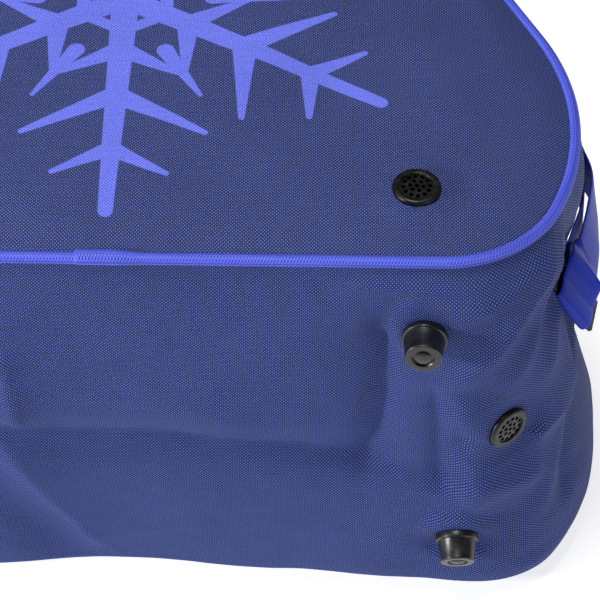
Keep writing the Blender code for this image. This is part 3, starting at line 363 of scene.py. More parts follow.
def moulded_plastic(name, colour, worn, roughness, grain_mm, relief_mm, shine=0.35):
    """Injection-moulded plastic: satin skin of fine spark-eroded grain, with scuffs that are paler."""
    made, tree, shader = surface(name, Roughness=roughness, IOR=1.5, Specular_IOR_Level=shine)
    place = add(tree, "NewGeometry").outputs["Position"]
    grain = add(tree, "TexNoise", {"Vector": place, "Scale": per(grain_mm), "Detail": 2.0})
    patches = add(tree, "TexNoise", {"Vector": place, "Scale": per(3.85), "Detail": 4.0})
    scuff = add(tree, "MapRange", {0: patches, 1: 0.45, 2: 0.75})
    tint = add(tree, "Mix", {0: scuff, 6: linear(colour), 7: linear(worn)}, data_type="RGBA")
    rough = add(tree, "MapRange", {0: patches, 1: 0.3, 2: 0.7, 3: roughness - 0.06, 4: roughness + 0.08})
    bump = add(tree, "Bump", {"Strength": 0.25, "Distance": relief_mm * MM, "Height": grain})
    feed(tree, shader, {"Base Color": tint, "Roughness": rough, "Normal": bump})
    return made


def spun_thread(name, colour):
    """Bonded polyester sewing thread: a dull sheen on each stitch."""
    made, tree, shader = surface(name, Roughness=0.5, IOR=1.5, Sheen_Weight=0.2)
    place = add(tree, "NewGeometry").outputs["Position"]
    fibre = add(tree, "TexNoise", {"Vector": place, "Scale": per(0.25)})
    tint = add(tree, "Mix", {0: fibre, 6: linear(colour), 7: linear("#6b76b0")}, data_type="RGBA")
    feed(tree, shader, {"Base Color": tint})
    return made


def enamelled_zinc(name):
    """Die-cast zinc under black stove enamel: smooth and glossy, greyer where fingers wear it."""
    made, tree, shader = surface(name, Roughness=0.3, IOR=1.5, Coat_Weight=0.3, Coat_Roughness=0.2)
    place = add(tree, "NewGeometry").outputs["Position"]
    wear = add(tree, "TexNoise", {"Vector": place, "Scale": per(2.5), "Detail": 3.0})
    share = add(tree, "MapRange", {0: wear, 1: 0.5, 2: 0.8})
    tint = add(tree, "Mix", {0: share, 6: linear("#18181a"), 7: linear("#3a3a3c")}, data_type="RGBA")
    feed(tree, shader, {"Base Color": tint})
    return made


# Threads of 600 denier cloth lie 0.5 mm apart, which is too fine to show, so they are drawn 0.8 mm apart.
# The ribs of webbing and zip tape are drawn about twice as coarse as the real ones for the same reason.
THREAD_PITCH = 0.80 * MM
WEBBING_RIB, WEBBING_YARN = 1.3 * MM, 0.9 * MM
TAPE_RIB, TAPE_YARN = 0.9 * MM, 0.7 * MM
# Cloth colours: gaps in painted shade, threads, and threads one way with a painted highlight; then the print's
# ink, plain and with the same painted highlight.
gusset_cloth = woven_polyester("woven_polyester_600d", "#070c32", "#283873", "#6474ba", THREAD_PITCH)
panel_cloth = woven_polyester("woven_polyester_600d_screen_printed", "#0a0f32", "#2e3a72", "#6d7abc",
                              THREAD_PITCH, "#5662dc", "#8791fb")
# Piping colours: painted shade between the strands, the strands, and a painted highlight on their crowns.
piping_cord = braided_cord("braided_polyester_piping", "#151f86", "#3c49c6", "#7a87fa")
# Webbing colours: gaps in painted shade, yarns, and yarns one way with a painted highlight.
strap_webbing = woven_webbing("polypropylene_webbing_royal", "#0c2298", "#1532b2", "#1b3abc",
                              WEBBING_RIB, WEBBING_YARN)
black_fitting = moulded_plastic("acetal_moulded_black", "#0b0b0c", "#1e1e1f", 0.38, 0.25, 0.03)
foot_plastic = moulded_plastic("polyethylene_moulded_black", "#0b0b0b", "#1c1c1c", 0.34, 0.3, 0.04, 0.6)
# Zip tape colours: gaps in painted shade, yarns, and yarns one way with a painted highlight.
zip_tape_cloth = woven_webbing("polyester_zip_tape", "#0d1030", "#1d2350", "#2b3268", TAPE_RIB, TAPE_YARN)
coil_nylon = moulded_plastic("nylon_coil_black", "#14151c", "#24262e", 0.35, 0.3, 0.02)
slider_enamel = enamelled_zinc("zinc_stove_enamelled_black")
seam_thread = spun_thread("bonded_polyester_thread_navy", "#39447c")
strap_thread = spun_thread("bonded_polyester_thread_royal", "#2c3fa8")


# Form of the bag

def seam_table(steps=400):
    """Half of the seam as arrays: share of its length, x, height above the base seam and heading."""
    corner, hip, top = BASE_CORNER_RADIUS, HIP_RADIUS, TOP_CORNER_RADIUS
    turn, flank_turn = BASE_CORNER_TURN, FLANK_HEADING
    base_half = BAG_WIDTH / 2 - corner * math.sin(turn) - hip * (1 - math.sin(turn))
    corner_rise = corner * (1 - math.cos(turn))
    hip_rise = hip * (math.cos(turn) - math.cos(flank_turn))
    top_rise = top * (1 + math.cos(flank_turn))
    flank = (BAG_HEIGHT - corner_rise - hip_rise - top_rise) / math.sin(flank_turn)
    widest = BAG_WIDTH / 2 - hip * (1 - math.sin(flank_turn))
    top_half = widest + flank * math.cos(flank_turn) - top * math.sin(flank_turn)
    runs = (
        (base_half, 0.0, 0.0, 0.0),
        (corner * turn, corner, 0.0, turn),
        (hip * (flank_turn - turn), hip, turn, flank_turn),
        (flank, 0.0, flank_turn, flank_turn),
        (top * (math.pi - flank_turn), top, flank_turn, math.pi),
        (top_half, 0.0, math.pi, math.pi),
    )
    rows = [(0.0, 0.0, 0.0, 0.0)]
    for length, _, start, end in runs:
        for k in range(1, steps + 1):
            heading = start + (end - start) * (k - 0.5) / steps
            at, x, y, _ = rows[-1]
            step = length / steps
            turned = start + (end - start) * k / steps
            rows.append((at + step, x + step * math.cos(heading), y + step * math.sin(heading), turned))
    table = np.array(rows).T
    return table[0] / table[0][-1], table[1], table[2], table[3], float(table[0][-1])


SEAM_SHARE, SEAM_X, SEAM_HEIGHT, SEAM_HEADING, HALF_OUTLINE = seam_table()


def seam(along):
    """Seam point and outward way at signed shares of the half seam, past 1 over the top to the other side."""
    along = np.asarray(along, float)
    along = np.where(along > 1, along - 2, along)
    side = np.where(along < 0, -1.0, 1.0)
    place = np.abs(along)
    x = side * np.interp(place, SEAM_SHARE, SEAM_X)
    y = BASE_Y + np.interp(place, SEAM_SHARE, SEAM_HEIGHT)
    heading = np.interp(place, SEAM_SHARE, SEAM_HEADING)
    return x, y, side * np.sin(heading), -np.cos(heading)


def curve_at(value, knots, heights):
    """Smooth curve through a table's rows, read at many values."""
    knots, heights = np.asarray(knots, float), np.asarray(heights, float)
    slopes = np.gradient(heights, knots)
    i = np.clip(np.searchsorted(knots, value, side="right") - 1, 0, len(knots) - 2)
    step = knots[i + 1] - knots[i]
    t = np.clip((value - knots[i]) / step, 0, 1)
    rise = (2 * t ** 3 - 3 * t ** 2 + 1) * heights[i] + (3 * t ** 2 - 2 * t ** 3) * heights[i + 1]
    return rise + (t ** 3 - 2 * t ** 2 + t) * step * slopes[i] + (t ** 3 - t ** 2) * step * slopes[i + 1]


def smooth(value):
    """0 to 1 with soft ends."""
    value = np.clip(value, 0, 1)
    return value * value * (3 - 2 * value)


def swell(along, depth):
    """Outward swelling of the wall, blended between the stations of the profile."""
    along = np.where(np.asarray(along) > 1, np.asarray(along) - 2, along)
    place = np.abs(along)
    rows = np.array(WALL_PROFILE)
    columns = np.stack([curve_at(depth, rows[:, 0], rows[:, k]) for k in range(1, rows.shape[1])])
    stations = np.array([WALL_STATIONS[name] for name in WALL_COLUMNS[1:]])
    at = np.clip(np.searchsorted(stations, place, side="right") - 1, 0, len(stations) - 2)
    share = smooth((place - stations[at]) / (stations[at + 1] - stations[at]))
    low = np.take_along_axis(columns, at[None], 0)[0]
    high = np.take_along_axis(columns, at[None] + 1, 0)[0]
    return (low * (1 - share) + high * share) * BULGE


FOLD_SOFTNESS = 0.8 * MM
FOLD_TAPER = 0.3
FOLD_END_HEIGHT = 0.25


def crease(along, depth, row, sign):
    """Height that one fold of the table adds at each place, tapered to its ends."""
    here = np.stack((along * HALF_OUTLINE, depth * BAG_DEPTH), -1)
    points = np.array(row["path"]) * (sign * HALF_OUTLINE, BAG_DEPTH)
    lengths = np.linalg.norm(np.diff(points, axis=0), axis=1)
    nearest = np.full(along.shape, 1.0)
    run = np.zeros(along.shape)
    passed = 0.0
    for start, end, length in zip(points, points[1:], lengths):
        share = np.clip((here - start) @ (end - start) / length ** 2, 0, 1)
        away = np.linalg.norm(here - start - share[..., None] * (end - start), axis=-1)
        closer = away < nearest
        nearest = np.where(closer, away, nearest)
        run = np.where(closer, (passed + share * length) / lengths.sum(), run)
        passed += length
    taper = smooth(np.minimum(run, 1 - run) / FOLD_TAPER + FOLD_END_HEIGHT) if row["edge"] < 2 else 1.0
    softened = np.sqrt(nearest ** 2 + FOLD_SOFTNESS ** 2) / (row["width"] * MM)
    return row["height"] * MM * taper * np.exp(-softened ** row["edge"])


def crumple(along, depth, size, height, seed):
    """Shallow random unevenness of stuffed cloth, size across and height high."""
    flat = np.stack(np.broadcast_arrays(along * HALF_OUTLINE, depth * BAG_DEPTH), -1)
    values = [noise.noise((a / size, b / size, seed)) for a, b in flat.reshape(-1, 2)]
    return np.array(values).reshape(flat.shape[:-1]) * height


# Unevenness of the stuffed cloth, each with its size, height and seed, and the gathers under the front seam
CRUMPLES = ((34 * MM, 1.1 * MM, 3.1), (12 * MM, 0.35 * MM, 7.7))
GATHER_WAVE = 2.1 * MM
GATHER_DRIFT = 17 * MM
GATHER_HEIGHT = 0.22 * MM
GATHER_REACH = 7 * MM


def folds(along, depth):
    """All folds, the cloth's unevenness, and gathers that fan out of the front seam."""
    along, depth = np.broadcast_arrays(np.asarray(along, float), np.asarray(depth, float))
    along = np.where(along > 1, along - 2, along)
    total = np.zeros(along.shape)
    for values in FOLDS:
        row = dict(zip(FOLD_COLUMNS, values))
        total = total + crease(along, depth, row, 1)
        if row["mirror"]:
            total = total + row["mirror"] * crease(along, depth, row, -1)
    for size, height, seed in CRUMPLES:
        total += crumple(along, depth, size, height, seed)
    run = along * HALF_OUTLINE
    gather = np.sin(run / GATHER_WAVE + 3 * np.sin(run / GATHER_DRIFT))
    total += GATHER_HEIGHT * gather * np.exp(-depth * BAG_DEPTH / GATHER_REACH)
    fade = np.clip(np.minimum(depth, 1 - depth) / 0.05, 0, 1)
    return total * smooth(fade)


def off_seam(along, depth, out):
    """Points of the gusset that stand out from the line between its seams."""
    x, y, out_x, out_y = seam(along)
    z = FRONT_SEAM_Z - np.asarray(depth) * BAG_DEPTH
    return np.stack(np.broadcast_arrays(x + out_x * out, y + out_y * out, z), -1)


def wall(along, depth):
    """Middle of the gusset's cloth, before fittings flatten it."""
    return off_seam(along, depth, swell(along, depth) + folds(along, depth))


def strap_wall(along, depth):
    """The wall without its folds but for the hollow behind the strap, as in the solids."""
    row = next(dict(zip(FOLD_COLUMNS, values)) for values in FOLDS if values[0] == "strap_hollow")
    depth = np.broadcast_to(depth, np.shape(along))
    hollow = crease(along, depth, row, 1) + crease(along, depth, row, -1)
    return off_seam(along, depth, swell(along, depth) + hollow)


STRAP_STEP = 12 * MM


def wall_frames(along, depth, step=6 * MM, form=wall):
    """Points of a form of the wall, the ways along and down it, and its outward normals."""
    a, d = step / HALF_OUTLINE, step / BAG_DEPTH
    run = form(along + a, depth) - form(along - a, depth)
    down = form(along, depth + d) - form(along, depth - d)
    run /= np.linalg.norm(run, axis=-1, keepdims=True)
    normal = np.cross(down, run)
    normal /= np.linalg.norm(normal, axis=-1, keepdims=True)
    return form(along, depth), run, np.cross(run, normal), normal


def fitting_axes(node, guess):
    """Middle of a turned fitting's seat and its axis, from its solid and the rough way that it points."""
    points = np.array([tuple(v.co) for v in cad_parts[node].data.vertices])
    points = np.unique(np.round(points, 6), axis=0)
    middle = points.mean(axis=0)
    _, ways = np.linalg.eigh(np.cov((points - middle).T))
    axis = max(ways.T, key=lambda way: abs(way @ guess))
    axis = axis * math.copysign(1.0, axis @ guess)
    rises = (points - middle) @ axis
    return middle, axis, float(rises.min())


VENT_BARREL_DEPTH = 4.2 * MM
VENT_RADIUS = 10.5 * MM
VENT_BARREL_RADIUS = 8.0 * MM
FOOT_RADIUS = 10.0 * MM


def find_fittings():
    """Seat, axis and radius of each vent and foot, read from its solid."""
    found = {}
    for side, sign in (("right", 1), ("left", -1)):
        for node, guess, radius, below in (
            (f"foot_front_{side}", (0, -1, 0), FOOT_RADIUS, 0.0),
            (f"foot_rear_{side}", (0, -1, -0.4), FOOT_RADIUS, 0.0),
            (f"vent_side_{side}", (0.6 * sign, -0.8, 0), VENT_RADIUS, VENT_BARREL_DEPTH),
            (f"vent_front_{side}", (0, 0, 1), VENT_RADIUS, VENT_BARREL_DEPTH),
        ):
            middle, axis, low = fitting_axes(node, np.array(guess))
            found[node] = (middle + axis * (low + below), axis, radius)
    return found


FITTINGS = find_fittings()
PRESS_REACH = 12 * MM
PRESS_FADE = 11 * MM
PRESS_GAP = 0.1 * MM
VENT_GAP = 0.9 * MM
PANEL_VENT_GAP = 1.0 * MM


def press(points):
    """Flatten cloth against the seats of the hard fittings."""
    points = points.copy()
    for seat, axis, radius in FITTINGS.values():
        away = np.linalg.norm(points - seat, axis=-1)
        share = smooth((radius + PRESS_REACH - away) / PRESS_FADE)
        height = (points - seat) @ axis + CLOTH / 2 + PRESS_GAP
        points -= (height * share)[..., None] * axis
    return points


def outside_vents(margin):
    """Test that keeps the faces of a cloth which lie clear of the vents' barrels."""
    seats = [seat for node, (seat, _, _) in FITTINGS.items() if node.startswith("vent")]

    def keep(middles):
        away = np.min([np.linalg.norm(middles - seat, axis=1) for seat in seats], axis=0)
        return away > VENT_BARREL_RADIUS + margin

    return keep


# Mesh tools

def grid_mesh(name, points, flat, keep=None, closed=False, relief=None):
    """Sheet through a grid of points. Its cloth attribute is each point's place on the flat cloth."""
    rows, columns = points.shape[:2]
    index = np.arange(rows * columns).reshape(rows, columns)
    if closed:
        index = np.hstack((index, index[:, :1]))
    faces = np.stack((index[:-1, :-1], index[:-1, 1:], index[1:, 1:], index[1:, :-1]), -1)
    faces = faces.reshape(-1, 4)
    if keep is not None:
        faces = faces[keep(points.reshape(-1, 3)[faces].mean(axis=1))]
    mesh = bpy.data.meshes.new(name)
    mesh.from_pydata(points.reshape(-1, 3).tolist(), [], faces.tolist())
    write_attributes(mesh, flat, relief)
    if keep is not None:
        cleaned = bmesh.new()
        cleaned.from_mesh(mesh)
        bmesh.ops.delete(cleaned, geom=[v for v in cleaned.verts if not v.link_faces], context="VERTS")
        cleaned.to_mesh(mesh)
        cleaned.free()
    return mesh


def distances(points):
    """How far each point of a line lies along it."""
    return np.concatenate(([0.0], np.cumsum(np.linalg.norm(np.diff(points, axis=0), axis=1))))


def close_loops(mesh, loops):
    """Fill loops of points with a face each, and turn all faces outwards."""
    bm = bmesh.new()
    bm.from_mesh(mesh)
    bm.verts.ensure_lookup_table()
    for loop in loops:
        bm.faces.new([bm.verts[i] for i in loop])
    bmesh.ops.recalc_face_normals(bm, faces=bm.faces[:])
    bm.to_mesh(mesh)
    bm.free()


def write_attributes(mesh, flat, relief=None):
    """Keep each point's place on the flat cloth, and its relief where it has one."""
    values = np.zeros((len(mesh.vertices), 3), np.float32)
    values[:, :2] = np.asarray(flat).reshape(-1, 2)
    layer = mesh.attributes.new("cloth", "FLOAT_VECTOR", "POINT")
    layer.data.foreach_set("vector", values.ravel())
    if relief is not None:
        layer = mesh.attributes.new("relief", "FLOAT", "POINT")
        layer.data.foreach_set("value", np.asarray(relief, np.float32).ravel())


def piece(name, mesh, material, nodes=(), sharp=None, matrix=None):
    """A piece that rides on the bag, takes its finish from a slot and stands for its solids."""
    made = bpy.data.objects.new(name, mesh)
    bpy.context.scene.collection.objects.link(made)
    if not mesh.materials:
        mesh.materials.append(material)
        mesh.shade_smooth()
        if sharp:
            mesh.set_sharp_from_angle(angle=math.radians(sharp))
    if matrix is not None:
        made.matrix_world = matrix
    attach(made, "root")
    if nodes:
        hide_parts(*nodes)
    return made


def thicken(made, thickness):
    """Give a sheet its thickness, half to each side."""
    solid = made.modifiers.new("thickness", "SOLIDIFY")
    solid.thickness = thickness
    solid.offset = 0.0


def round_edges(made, width, segments=3):
    """Break the hard edges of a moulding."""
    bevel = made.modifiers.new("edges", "BEVEL")
    bevel.width = width
    bevel.segments = segments
    bevel.limit_method = "ANGLE"
    bevel.angle_limit = math.radians(35)


def turned(name, profile, segments=72):
    """Solid turned about Z from a profile of radius and height in mm."""
    bm = bmesh.new()
    verts = [bm.verts.new((radius * MM, 0, height * MM)) for radius, height in profile]
    edges = [bm.edges.new(pair) for pair in zip(verts, verts[1:])]
    bmesh.ops.spin(bm, geom=verts + edges, cent=(0, 0, 0), axis=(0, 0, 1), angle=math.tau,
                   steps=segments, use_merge=True)
    bmesh.ops.remove_doubles(bm, verts=bm.verts[:], dist=0.000005)
    bmesh.ops.recalc_face_normals(bm, faces=bm.faces[:])
    mesh = bpy.data.meshes.new(name)
    bm.to_mesh(mesh)
    bm.free()
    return mesh


def arc(middle_r, middle_h, radius, start, end, count=5):
    """Points of a round in a turned profile, in mm and degrees."""
    angles = [math.radians(start + (end - start) * k / (count - 1)) for k in range(count)]
    return [(middle_r + radius * math.cos(t), middle_h + radius * math.sin(t)) for t in angles]


def standing(place, axis):
    """Matrix that stands a turned piece on a place, along an axis."""
    return Matrix.Translation(Vector(place)) @ Vector(axis).to_track_quat("Z", "Y").to_matrix().to_4x4()


def smooth_route(points, steps):
    """Points along a smooth curve through the given ones (Catmull-Rom)."""
    values = [np.array(point, dtype=float) for point in points]
    values = [2 * values[0] - values[1]] + values + [2 * values[-1] - values[-2]]
    made = []
    for before, start, end, after in zip(values, values[1:], values[2:], values[3:]):
        for k in range(steps):
            t = k / steps
            bend = 2 * before - 5 * start + 4 * end - after
            twist = 3 * start - before - 3 * end + after
            made.append(0.5 * (2 * start + (end - before) * t + bend * t ** 2 + twist * t ** 3))
    made.append(values[-2])
    return np.array(made)


def ribbon_mesh(name, centres, ways, width, thickness, sides=16):
    """Webbing with soft edges along a route, each point with the way that its width runs."""
    tangents = np.gradient(centres, axis=0)
    tangents /= np.linalg.norm(tangents, axis=1, keepdims=True)
    ways = ways - tangents * np.sum(ways * tangents, axis=1, keepdims=True)
    ways /= np.linalg.norm(ways, axis=1, keepdims=True)
    normals = np.cross(tangents, ways)
    turn = np.linspace(0, math.tau, sides, endpoint=False) + math.pi / sides
    across = np.sign(np.cos(turn)) * np.abs(np.cos(turn)) ** 0.3 * width / 2
    up = np.sign(np.sin(turn)) * np.abs(np.sin(turn)) ** 0.55 * thickness / 2
    points = centres[:, None] + ways[:, None] * across[None, :, None] + normals[:, None] * up[None, :, None]
    flat = np.stack(np.broadcast_arrays(distances(centres)[:, None], across[None, :]), -1)
    mesh = grid_mesh(name, points, flat, closed=True)
    count = len(mesh.vertices)
    close_loops(mesh, (range(sides), range(count - sides, count)))
    return mesh


def copies_mesh(name, template, faces, places):
    """Copies of a small form in one mesh. places has an origin and three scaled ways for each."""
    template = np.array(template)
    count = len(template)
    points = [origin + template @ np.array(ways) for origin, ways in places]
    joined = [tuple(i + k * count for i in face) for k in range(len(points)) for face in faces]
    mesh = bpy.data.meshes.new(name)
    mesh.from_pydata(np.concatenate(points).tolist(), [], joined)
    write_attributes(mesh, np.concatenate(points)[:, :2])
    return mesh


def capsule(sides=6):
    """A bar of unit length and width with tapered ends, along x."""
    points, faces = [], []
    rings = ((-0.5, 0.35), (-0.38, 0.85), (0.0, 1.0), (0.38, 0.85), (0.5, 0.35))
    for x, radius in rings:
        for k in range(sides):
            turn = math.tau * k / sides
            points.append((x, 0.5 * radius * math.cos(turn), 0.5 * radius * math.sin(turn)))
    for ring in range(len(rings) - 1):
        for k in range(sides):
            a, b = ring * sides + k, ring * sides + (k + 1) % sides
            faces.append((a, b, b + sides, a + sides))
    faces.append(tuple(reversed(range(sides))))
    faces.append(tuple(range(len(points) - sides, len(points))))
    return points, faces


STITCH_LENGTH = 2.6 * MM
STITCH_PITCH = 3.4 * MM
STITCH_LIFT = 0.12 * MM
THREAD = 0.55 * MM


def stitch_places(points, normals):
    """Where each stitch lies along a line of points."""
    run = distances(points)
    middles = np.arange(STITCH_PITCH / 2, run[-1], STITCH_PITCH)
    places = []
    for middle in middles:
        ends = [np.array([np.interp(middle + s * STITCH_LENGTH / 2, run, points[:, k]) for k in range(3)])
                for s in (-1, 1)]
        normal = np.array([np.interp(middle, run, normals[:, k]) for k in range(3)])
        way = (ends[1] - ends[0]) / np.linalg.norm(ends[1] - ends[0])
        side = np.cross(normal, way)
        side /= np.linalg.norm(side)
        centre = (ends[0] + ends[1]) / 2 + normal * STITCH_LIFT
        places.append((centre, (way * STITCH_LENGTH, side * THREAD, np.cross(way, side) * THREAD)))
    return places


def make_stitches(name, lines, thread):
    """Rows of sewing, from lines of points with their normals."""
    places = [place for points, normals in lines for place in stitch_places(points, normals)]
    return piece(name, copies_mesh(name, *capsule(), places), thread)


# Cloth walls

def wall_sheet(node, around, depths, lip):
    """A strip of the gusset as fine cloth, flattened and pierced at its fittings."""
    a, d = np.meshgrid(around, depths)
    normals = wall_frames(a, d)[3]
    points = press(wall(a, d) + normals * lip(a, d)[..., None])
    flat = np.stack((a * HALF_OUTLINE, d * BAG_DEPTH), -1)
    name = node + "_cloth"
    mesh = grid_mesh(name, points, flat, outside_vents(VENT_GAP))
    thicken(piece(name, mesh, gusset_cloth, [node]), DRAWN_CLOTH)


def depth_rows(first, last, step=GUSSET_STEP):
    """Depth shares, closer together beside the seams."""
    count = int((last - first) * BAG_DEPTH / step) + 8
    t = np.linspace(0, 1, count)
    return first + (last - first) * (0.8 * t + 0.2 * smooth(t))


SPLIT = float(np.interp(ZIP_END_HEIGHT, SEAM_HEIGHT[SEAM_SHARE < 0.9], SEAM_SHARE[SEAM_SHARE < 0.9]))
TUCK = 1.2 * MM / BAG_DEPTH
TAPE_LOW = (ZIP_DEPTH - ZIP_TAPE_WIDTH / 2) / BAG_DEPTH
TAPE_HIGH = (ZIP_DEPTH + ZIP_TAPE_WIDTH / 2) / BAG_DEPTH
FLAP = 6.5 * MM / BAG_DEPTH


LIP_REACH = 5 * MM
FLAP_SEWING = (2.2 * MM, 5.0 * MM)
SEAM_SEWING = (2.5 * MM, -2.5 * MM)
SEWING_LIFT = CLOTH / 2 + 0.25 * MM


def flap_lip(edge):
    """Lift of cloth that is folded double along an edge at some depth."""
    return lambda a, d: 0.5 * MM * smooth(1 - np.abs(d - edge) * BAG_DEPTH / LIP_REACH)


def seam_lip(a, d):
    """Lift of the base gusset where it is folded under at its upright seams."""
    return 0.4 * MM * smooth(1 - (SPLIT - np.abs(a)) * HALF_OUTLINE / LIP_REACH)


def sewing_line(around, depth):
    """A row of sewing on the wall: its points and their normals."""
    points, _, _, normals = wall_frames(around, depth)
    return points + normals * SEWING_LIFT, normals


def make_walls():
    """Base gusset and the two strips beside the zip."""
    base = np.linspace(-SPLIT, SPLIT, int(2 * SPLIT * HALF_OUTLINE / GUSSET_STEP))
    over = np.linspace(SPLIT, 2 - SPLIT, int(2 * (1 - SPLIT) * HALF_OUTLINE / TOP_STEP))
    front, rear = TAPE_LOW + FLAP, TAPE_HIGH - FLAP
    wall_sheet("base_gusset", base, depth_rows(TUCK, 1 - TUCK), seam_lip)
    wall_sheet("top_gusset_front", over, depth_rows(TUCK, front), flap_lip(front))
    wall_sheet("top_gusset_rear", over, depth_rows(rear, 1 - TUCK), flap_lip(rear))
    depths = np.linspace(0.03, 0.97, 120)
    lines = [sewing_line(over, np.full(len(over), edge + way * inset / BAG_DEPTH))
             for edge, way in ((front, -1), (rear, 1)) for inset in FLAP_SEWING]
    lines += [sewing_line(np.full(len(depths), place + inset / HALF_OUTLINE), depths)
              for place in (SPLIT, 2 - SPLIT) for inset in SEAM_SEWING]
    make_stitches("gusset_stitches", lines, seam_thread)


# Panels

def panel_grid(z_seam, swell_depth, inset, rings):
    """Points of a panel from its seam to its middle, with each ring's share of the way."""
    count = int(2 * HALF_OUTLINE / PANEL_STEP)
    around = np.linspace(0, 2, count, endpoint=False)
    x, y, out_x, out_y = seam(around)
    out = swell(around, np.full(count, swell_depth)) - inset
    rim = np.stack((x + out_x * out, y + out_y * out), -1)
    shares = 1 - (1 - np.linspace(0, 1, rings)[:-1]) ** 1.15
    flat = rim[None] + (np.array((0.0, BASE_Y + PANEL_MIDDLE)) - rim)[None] * shares[:, None, None]
    points = np.concatenate((flat, np.full(flat.shape[:2] + (1,), z_seam)), -1)
    return points, flat, shares


def make_panel(node, points, flat, material, keep=None):
    """Cloth of a panel, closed over the small hole that its innermost ring leaves."""
    name = node + "_cloth"
    mesh = grid_mesh(name, points, flat, keep, closed=True)
    count = len(mesh.vertices)
    close_loops(mesh, [range(count - points.shape[1], count)])
    thicken(piece(name, mesh, material, [node]), DRAWN_CLOTH)


# Unevenness of the front panel, each with its size, height and seed
PANEL_CRUMPLES = ((55 * MM, 1.5 * MM, 4.4), (20 * MM, 0.35 * MM, 9.1))
PANEL_RIM = 0.12


def make_front_panel():
    """Domed, printed panel: it dips into its piping and is drawn down a little round its eyelets."""
    points, flat, shares = panel_grid(FRONT_SEAM_Z, 0.0, 0.6 * MM, 74)
    rises = curve_at(shares, [row[0] for row in DOME], [row[1] for row in DOME]) * PANEL_DOME
    uneven = [sum(noise.noise((a / size, b / size, seed)) * height for size, height, seed in PANEL_CRUMPLES)
              for a, b in flat.reshape(-1, 2)]
    fade = smooth(shares / PANEL_RIM)[:, None]
    points[..., 2] += rises[:, None] + np.array(uneven).reshape(flat.shape[:2]) * fade
    make_panel("front_panel", press(points), flat - np.array((0.0, BASE_Y)), panel_cloth,
               outside_vents(PANEL_VENT_GAP))


def make_back_panel():
    """Flat panel that the bag lies on."""
    points, flat, _ = panel_grid(CLOTH / 2, 1.0, PIPING_RADIUS * 0.6, 40)
    make_panel("back_panel", points, flat, gusset_cloth)


# Piping

BRAID_ROWS = 10
BRAID_PITCH = 1.35 * MM
BRAID_RELIEF = 0.28 * MM
BRAID_SLANT = 1.1
# Where the ends of the front piping lap, as places along the seam from the middle of the base
LAP_START, LAP_START_FADE = -9.5 * MM, 1.2 * MM
LAP_END, LAP_END_FADE = 21.0 * MM, 16 * MM
LAP_SWELL = 0.75 * MM
LAP_LIFT = 0.55 * MM


def make_piping(name, node, depth, step, sides, lapped):
    """Braided cord along a seam. Its rows of slanted strands turn the other way from row to row."""
    count = int(2 * HALF_OUTLINE / step)
    around = np.linspace(0, 2, count, endpoint=False)
    _, _, out_x, out_y = seam(around)
    depths = np.full(count, depth)
    centres = off_seam(around, depths, swell(around, depths))
    outward = np.stack((out_x, out_y, np.zeros(count)), -1)
    run = around * HALF_OUTLINE
    turn = np.linspace(0, math.tau, sides, endpoint=False)
    row = turn / math.tau * BRAID_ROWS
    slant = np.abs((row % 2) - 1)
    strand = np.abs(np.sin(math.pi * (run[:, None] / BRAID_PITCH + BRAID_SLANT * slant[None])))
    bundle = np.abs(np.sin(math.pi * row))[None] ** 0.5
    relief = strand ** 0.7 * (0.45 + 0.55 * bundle)
    radius = np.full(count, PIPING_RADIUS - 0.5 * BRAID_RELIEF)
    if lapped:
        signed = np.where(around > 1, around - 2, around) * HALF_OUTLINE
        lap = smooth((signed - LAP_START) / LAP_START_FADE) * smooth((LAP_END - signed) / LAP_END_FADE)
        radius = radius + LAP_SWELL * lap
        centres[:, 2] += LAP_LIFT * lap
    radius = radius[:, None] + BRAID_RELIEF * (relief - 0.3)
    up = np.array((0.0, 0.0, 1.0))
    points = (centres[:, None] + outward[:, None] * (radius * np.cos(turn))[..., None]
              + up * (radius * np.sin(turn))[..., None])
    points = np.concatenate((points, points[:1]))
    relief = np.concatenate((relief, relief[:1]))
    run = np.append(run, 2 * HALF_OUTLINE)
    flat = np.stack(np.broadcast_arrays(run[:, None], turn[None] * PIPING_RADIUS), -1)
    mesh = grid_mesh(name, points, flat, closed=True, relief=relief)
    bm = bmesh.new()
    bm.from_mesh(mesh)
    bmesh.ops.remove_doubles(bm, verts=bm.verts[:], dist=0.000001)
    bmesh.ops.recalc_face_normals(bm, faces=bm.faces[:])
    bm.to_mesh(mesh)
    bm.free()
    piece(name, mesh, piping_cord, [node])


# Moulded fittings

# Grille: rings of holes, each with its radius and the number of holes in it
GRILLE_RINGS = ((0.0, 1), (2.85 * MM, 6), (5.65 * MM, 12))
GRILLE_HOLE = 0.98 * MM


